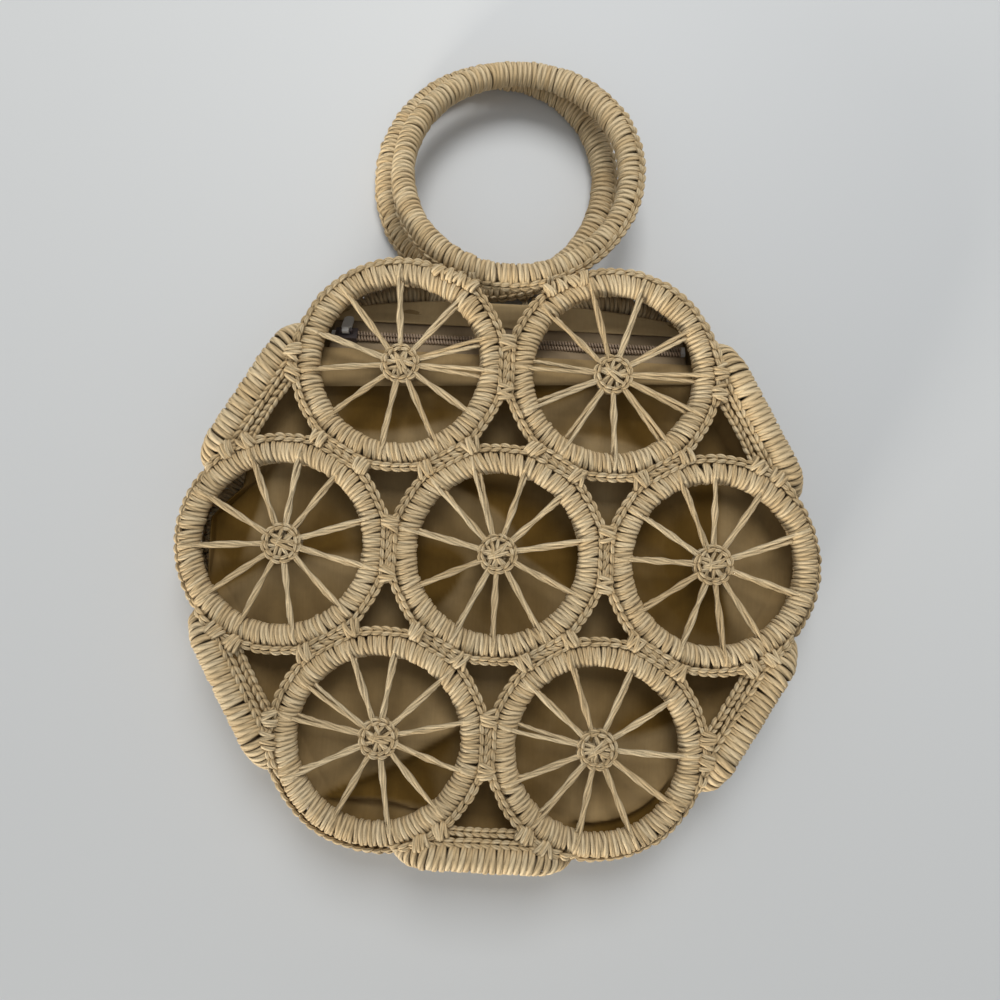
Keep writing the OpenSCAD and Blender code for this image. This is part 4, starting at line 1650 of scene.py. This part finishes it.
@dataclass(frozen=True)
class YarnFinish(Finish):
    """Paper-straw yarn: flat plies that run along the strand with a slow twist, with painted shade at each
    strand's sides and in the grooves between its plies.
    """

    plies: float = 4.0
    lay: float = 0.010
    # Share of painted shade at each strand's sides, where it meets its neighbours.
    sides: float = 0.42
    low_tone: Point = (0.98, 0.90, 0.78)

    def dress(self, tree: NodeTree, groups: dict[str, NodeTree]) -> dict[str, Value]:
        """The yarn's colour, roughness and relief.

        The plies are a wave of the place round the strand plus the place along it over the length of lay. The
        colour is painted darker in the grooves between plies and at the two sides of each strand, as painted
        shade where plies and strands meet.

        Args:
            tree: the material's tree.
            groups: the shared node groups.

        Returns:
            Values by the input's name.
        """
        flat = add(tree, "UVMap", uv_map="lie")
        along = add(tree, "SeparateXYZ", {0: flat})
        round_it = along.out(1)
        noise = add(tree, "TexNoise", {"Vector": flat, "Scale": 60.0, "Detail": 2.0})
        turn = round_it * self.plies + along.do("DIVIDE", self.lay) + noise * 0.7
        ply = (turn * math.pi).do("SINE").do("ABSOLUTE") ** 0.5
        uneven = add(tree, "Group", {"Scale": 55.0, "Amount": 0.22}, node_tree=groups["mottle"])
        tone = add(tree, "Attribute", attribute_name="tone").out("Fac")
        # Painted shade: darker at the sides of each strand's section and in the ply grooves, and, through the
        # tone, where strands tuck under.
        side = (round_it * TAU).do("COSINE").do("ABSOLUTE") ** 8.0
        shade = (tone * 0.16 + 0.88) * (side * -self.sides + 1.0) * uneven * (ply * 0.36 + 0.69)
        low = tuple(np.multiply(self.color, self.low_tone))
        return {"Base Color": self.tinted(tree, low, self.color, shade),
                "Roughness": ply * -0.15 + (self.roughness + 0.1),
                "Normal": self.bump(tree, 0.8, 0.0004, ply + uneven.out("Grain") * 0.5)}


@dataclass(frozen=True)
class ClothFinish(Finish):
    """Woven cloth with a fine weave, streaks along its threads and soft uneven colour."""

    pale: Point = (0.5, 0.4, 0.3)
    threads: float = 2400.0
    streaks: float = 0.10
    amount: float = 0.14
    weave_depth: float = 0.00012

    def dress(self, tree: NodeTree, groups: dict[str, NodeTree]) -> dict[str, Value]:
        """The cloth's colour and relief, from the shared weave and mottle.

        Args:
            tree: the material's tree.
            groups: the shared node groups.

        Returns:
            Values by the input's name.
        """
        woven = add(tree, "Group", {"Threads": self.threads}, node_tree=groups["weave"])
        uneven = add(tree, "Group", {"Scale": 14.0, "Amount": self.amount}, node_tree=groups["mottle"])
        streak = woven.out("Shade") * (2 * self.streaks) + (1 - self.streaks)
        shade = streak * uneven * (woven * 0.12 + 0.94)
        return {"Base Color": self.tinted(tree, self.color, self.pale, shade),
                "Normal": self.bump(tree, 0.4, self.weave_depth, woven)}


@dataclass(frozen=True)
class HardFinish(Finish):
    """Metal or plastic with fine wear: rubbed spots change its roughness and its colour a little."""

    wear_scale: float = 300.0
    wear: float = 0.12

    def dress(self, tree: NodeTree, groups: dict[str, NodeTree]) -> dict[str, Value]:
        """The worn colour, roughness and relief.

        Args:
            tree: the material's tree.
            groups: the shared node groups.

        Returns:
            Values by the input's name.
        """
        uneven = add(tree, "Group", {"Scale": self.wear_scale, "Amount": self.wear},
                     node_tree=groups["mottle"])
        grain = uneven.out("Grain")
        return {"Base Color": add(tree, "VectorMath", {0: self.color, "Scale": uneven}, operation="SCALE"),
                "Roughness": grain * 0.2 + (self.roughness - 0.1),
                "Normal": self.bump(tree, 0.15, 0.00005, grain)}


FINISHES: dict[str, Finish] = {
    "yarn": YarnFinish("straw_yarn", (0.635, 0.50, 0.305), 0.72, specular=0.3),
    # On the lining layers the tone paints light and shade: the dark colour is painted shade in the valleys,
    # the pale one painted light on the crests.
    "cotton": ClothFinish("khaki_cotton", (0.120, 0.066, 0.014), 0.9, specular=0.08,
                          pale=(0.46, 0.335, 0.175)),
    "tape": ClothFinish("zipper_tape", (0.200, 0.145, 0.085), 0.8, specular=0.2, pale=(0.29, 0.215, 0.130),
                        threads=1500.0),
    "teeth": HardFinish("nylon_teeth", (0.36, 0.26, 0.175), 0.42),
    # Painted shade: the hoops show only in the gaps between strands, so they are dark brown to stand for the
    # shade there.
    "core": HardFinish("hoop_plastic", (0.20, 0.14, 0.075), 0.6),
    "steel": HardFinish("pull_metal", (0.66, 0.65, 0.62), 0.4, 0.1),
    "dark": HardFinish("slider_metal", (0.12, 0.10, 0.10), 0.45, 0.6),
}


def dress_solids(made: dict[str, Material]) -> None:
    """Gives each solid that still shows its finish.

    Args:
        made: materials by the finish's name.
    """
    for name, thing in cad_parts.items():
        if thing.hide_render:
            continue
        # Hoop cores get the core finish, a dark brown painted shade for the gaps between strands.
        core = "hoop" in name or "core" in name
        thing.data.materials.clear()
        thing.data.materials.append(made["core" if core else "dark" if name == "zip_slider" else "steel"])


@dataclass
class Studio:
    """Table, lights and camera. The eye, its turn and its focal length are fitted to the photograph."""

    table: Finish = Finish("table_paint", (0.59, 0.60, 0.605), 0.55)
    table_half: float = 3.0
    sky: Point = (0.94, 0.965, 0.985)
    sky_strength: float = 0.44
    window_from: Point = (-1.0, -1.7, 0.15)
    window_angle: float = 0.28
    window_energy: float = 5.0
    window_tint: Point = (1.0, 0.95, 0.86)
    ceiling_from: Point = (0.08, 1.12, 1.45)
    ceiling_size: float = 0.9
    ceiling_energy: float = 20.5
    ceiling_tint: Point = (1.0, 1.0, 0.99)
    eye: Point = (0.00093, -0.05281, 0.42994)
    turn: Point = (-0.05257, -0.00108, -0.05061)
    focal_px: float = 751.0
    frame_px: float = 1000.0
    sensor_mm: float = 36.0

    def build(self) -> None:
        """Makes the table, the lights and the camera."""
        scene = bpy.context.scene
        scene.view_settings.view_transform = "Standard"
        mesh = bpy.data.meshes.new("table")
        half = self.table_half
        corners = [(x * half, y * half, 0) for x, y in ((-1, -1), (1, -1), (1, 1), (-1, 1))]
        mesh.from_pydata(corners, [], [(0, 1, 2, 3)])
        mesh.materials.append(self.table.make({}))
        table = bpy.data.objects.new("table", mesh)
        scene.collection.objects.link(table)
        scene.world = bpy.data.worlds.new("room")
        scene.world.use_nodes = True
        fill(scene.world.node_tree.nodes["Background"], {0: (*self.sky, 1), 1: self.sky_strength})
        window = bpy.data.lights.new("window", "SUN")
        window.angle, window.energy, window.color = self.window_angle, self.window_energy, self.window_tint
        self.hang(window, self.window_from)
        ceiling = bpy.data.lights.new("ceiling", "AREA")
        ceiling.size, ceiling.energy = self.ceiling_size, self.ceiling_energy
        ceiling.color = self.ceiling_tint
        self.hang(ceiling, self.ceiling_from)
        self.camera()

    def hang(self, light: bpy.types.Light, place: Point) -> None:
        """Puts a lamp at a place, looking at the bag.

        Args:
            light: the lamp's light.
            place: where it hangs.
        """
        lamp = bpy.data.objects.new(light.name, light)
        lamp.location = place
        lamp.rotation_euler = (-Vector(place)).to_track_quat("-Z", "Y").to_euler()
        bpy.context.scene.collection.objects.link(lamp)

    def camera(self) -> None:
        """Adds the camera, as it was fitted to the photograph.

        The turn is a rotation vector that carries the bag's axes to the camera's, so the camera's own
        matrix is its inverse.
        """
        camera = bpy.data.cameras.new("camera")
        camera.sensor_width = camera.sensor_height = self.sensor_mm
        camera.lens = self.sensor_mm * self.focal_px / self.frame_px
        camera.clip_start, camera.clip_end = 0.01, 20.0
        seen = bpy.data.objects.new("camera", camera)
        turn = Vector(self.turn)
        turned = Matrix.Rotation(turn.length, 4, turn.normalized()).inverted()
        seen.matrix_world = Matrix.Translation(self.eye) @ turned
        bpy.context.scene.collection.objects.link(seen)
        bpy.context.scene.camera = seen


def main() -> None:
    """Builds the bag and its studio."""
    logging.basicConfig(level=logging.INFO, format="%(name)s %(message)s")
    Studio().build()
    groups = {"mottle": mottle_group(), "weave": weave_group()}
    made = {name: finish.make(groups) for name, finish in FINISHES.items()}
    for part in (Faces(), Sides(), Handles()):
        part.build(made["yarn"])
    Lining().build(made["cotton"])
    Zipper().build(made)
    dress_solids(made)


if __name__ == "__main__":
    main()
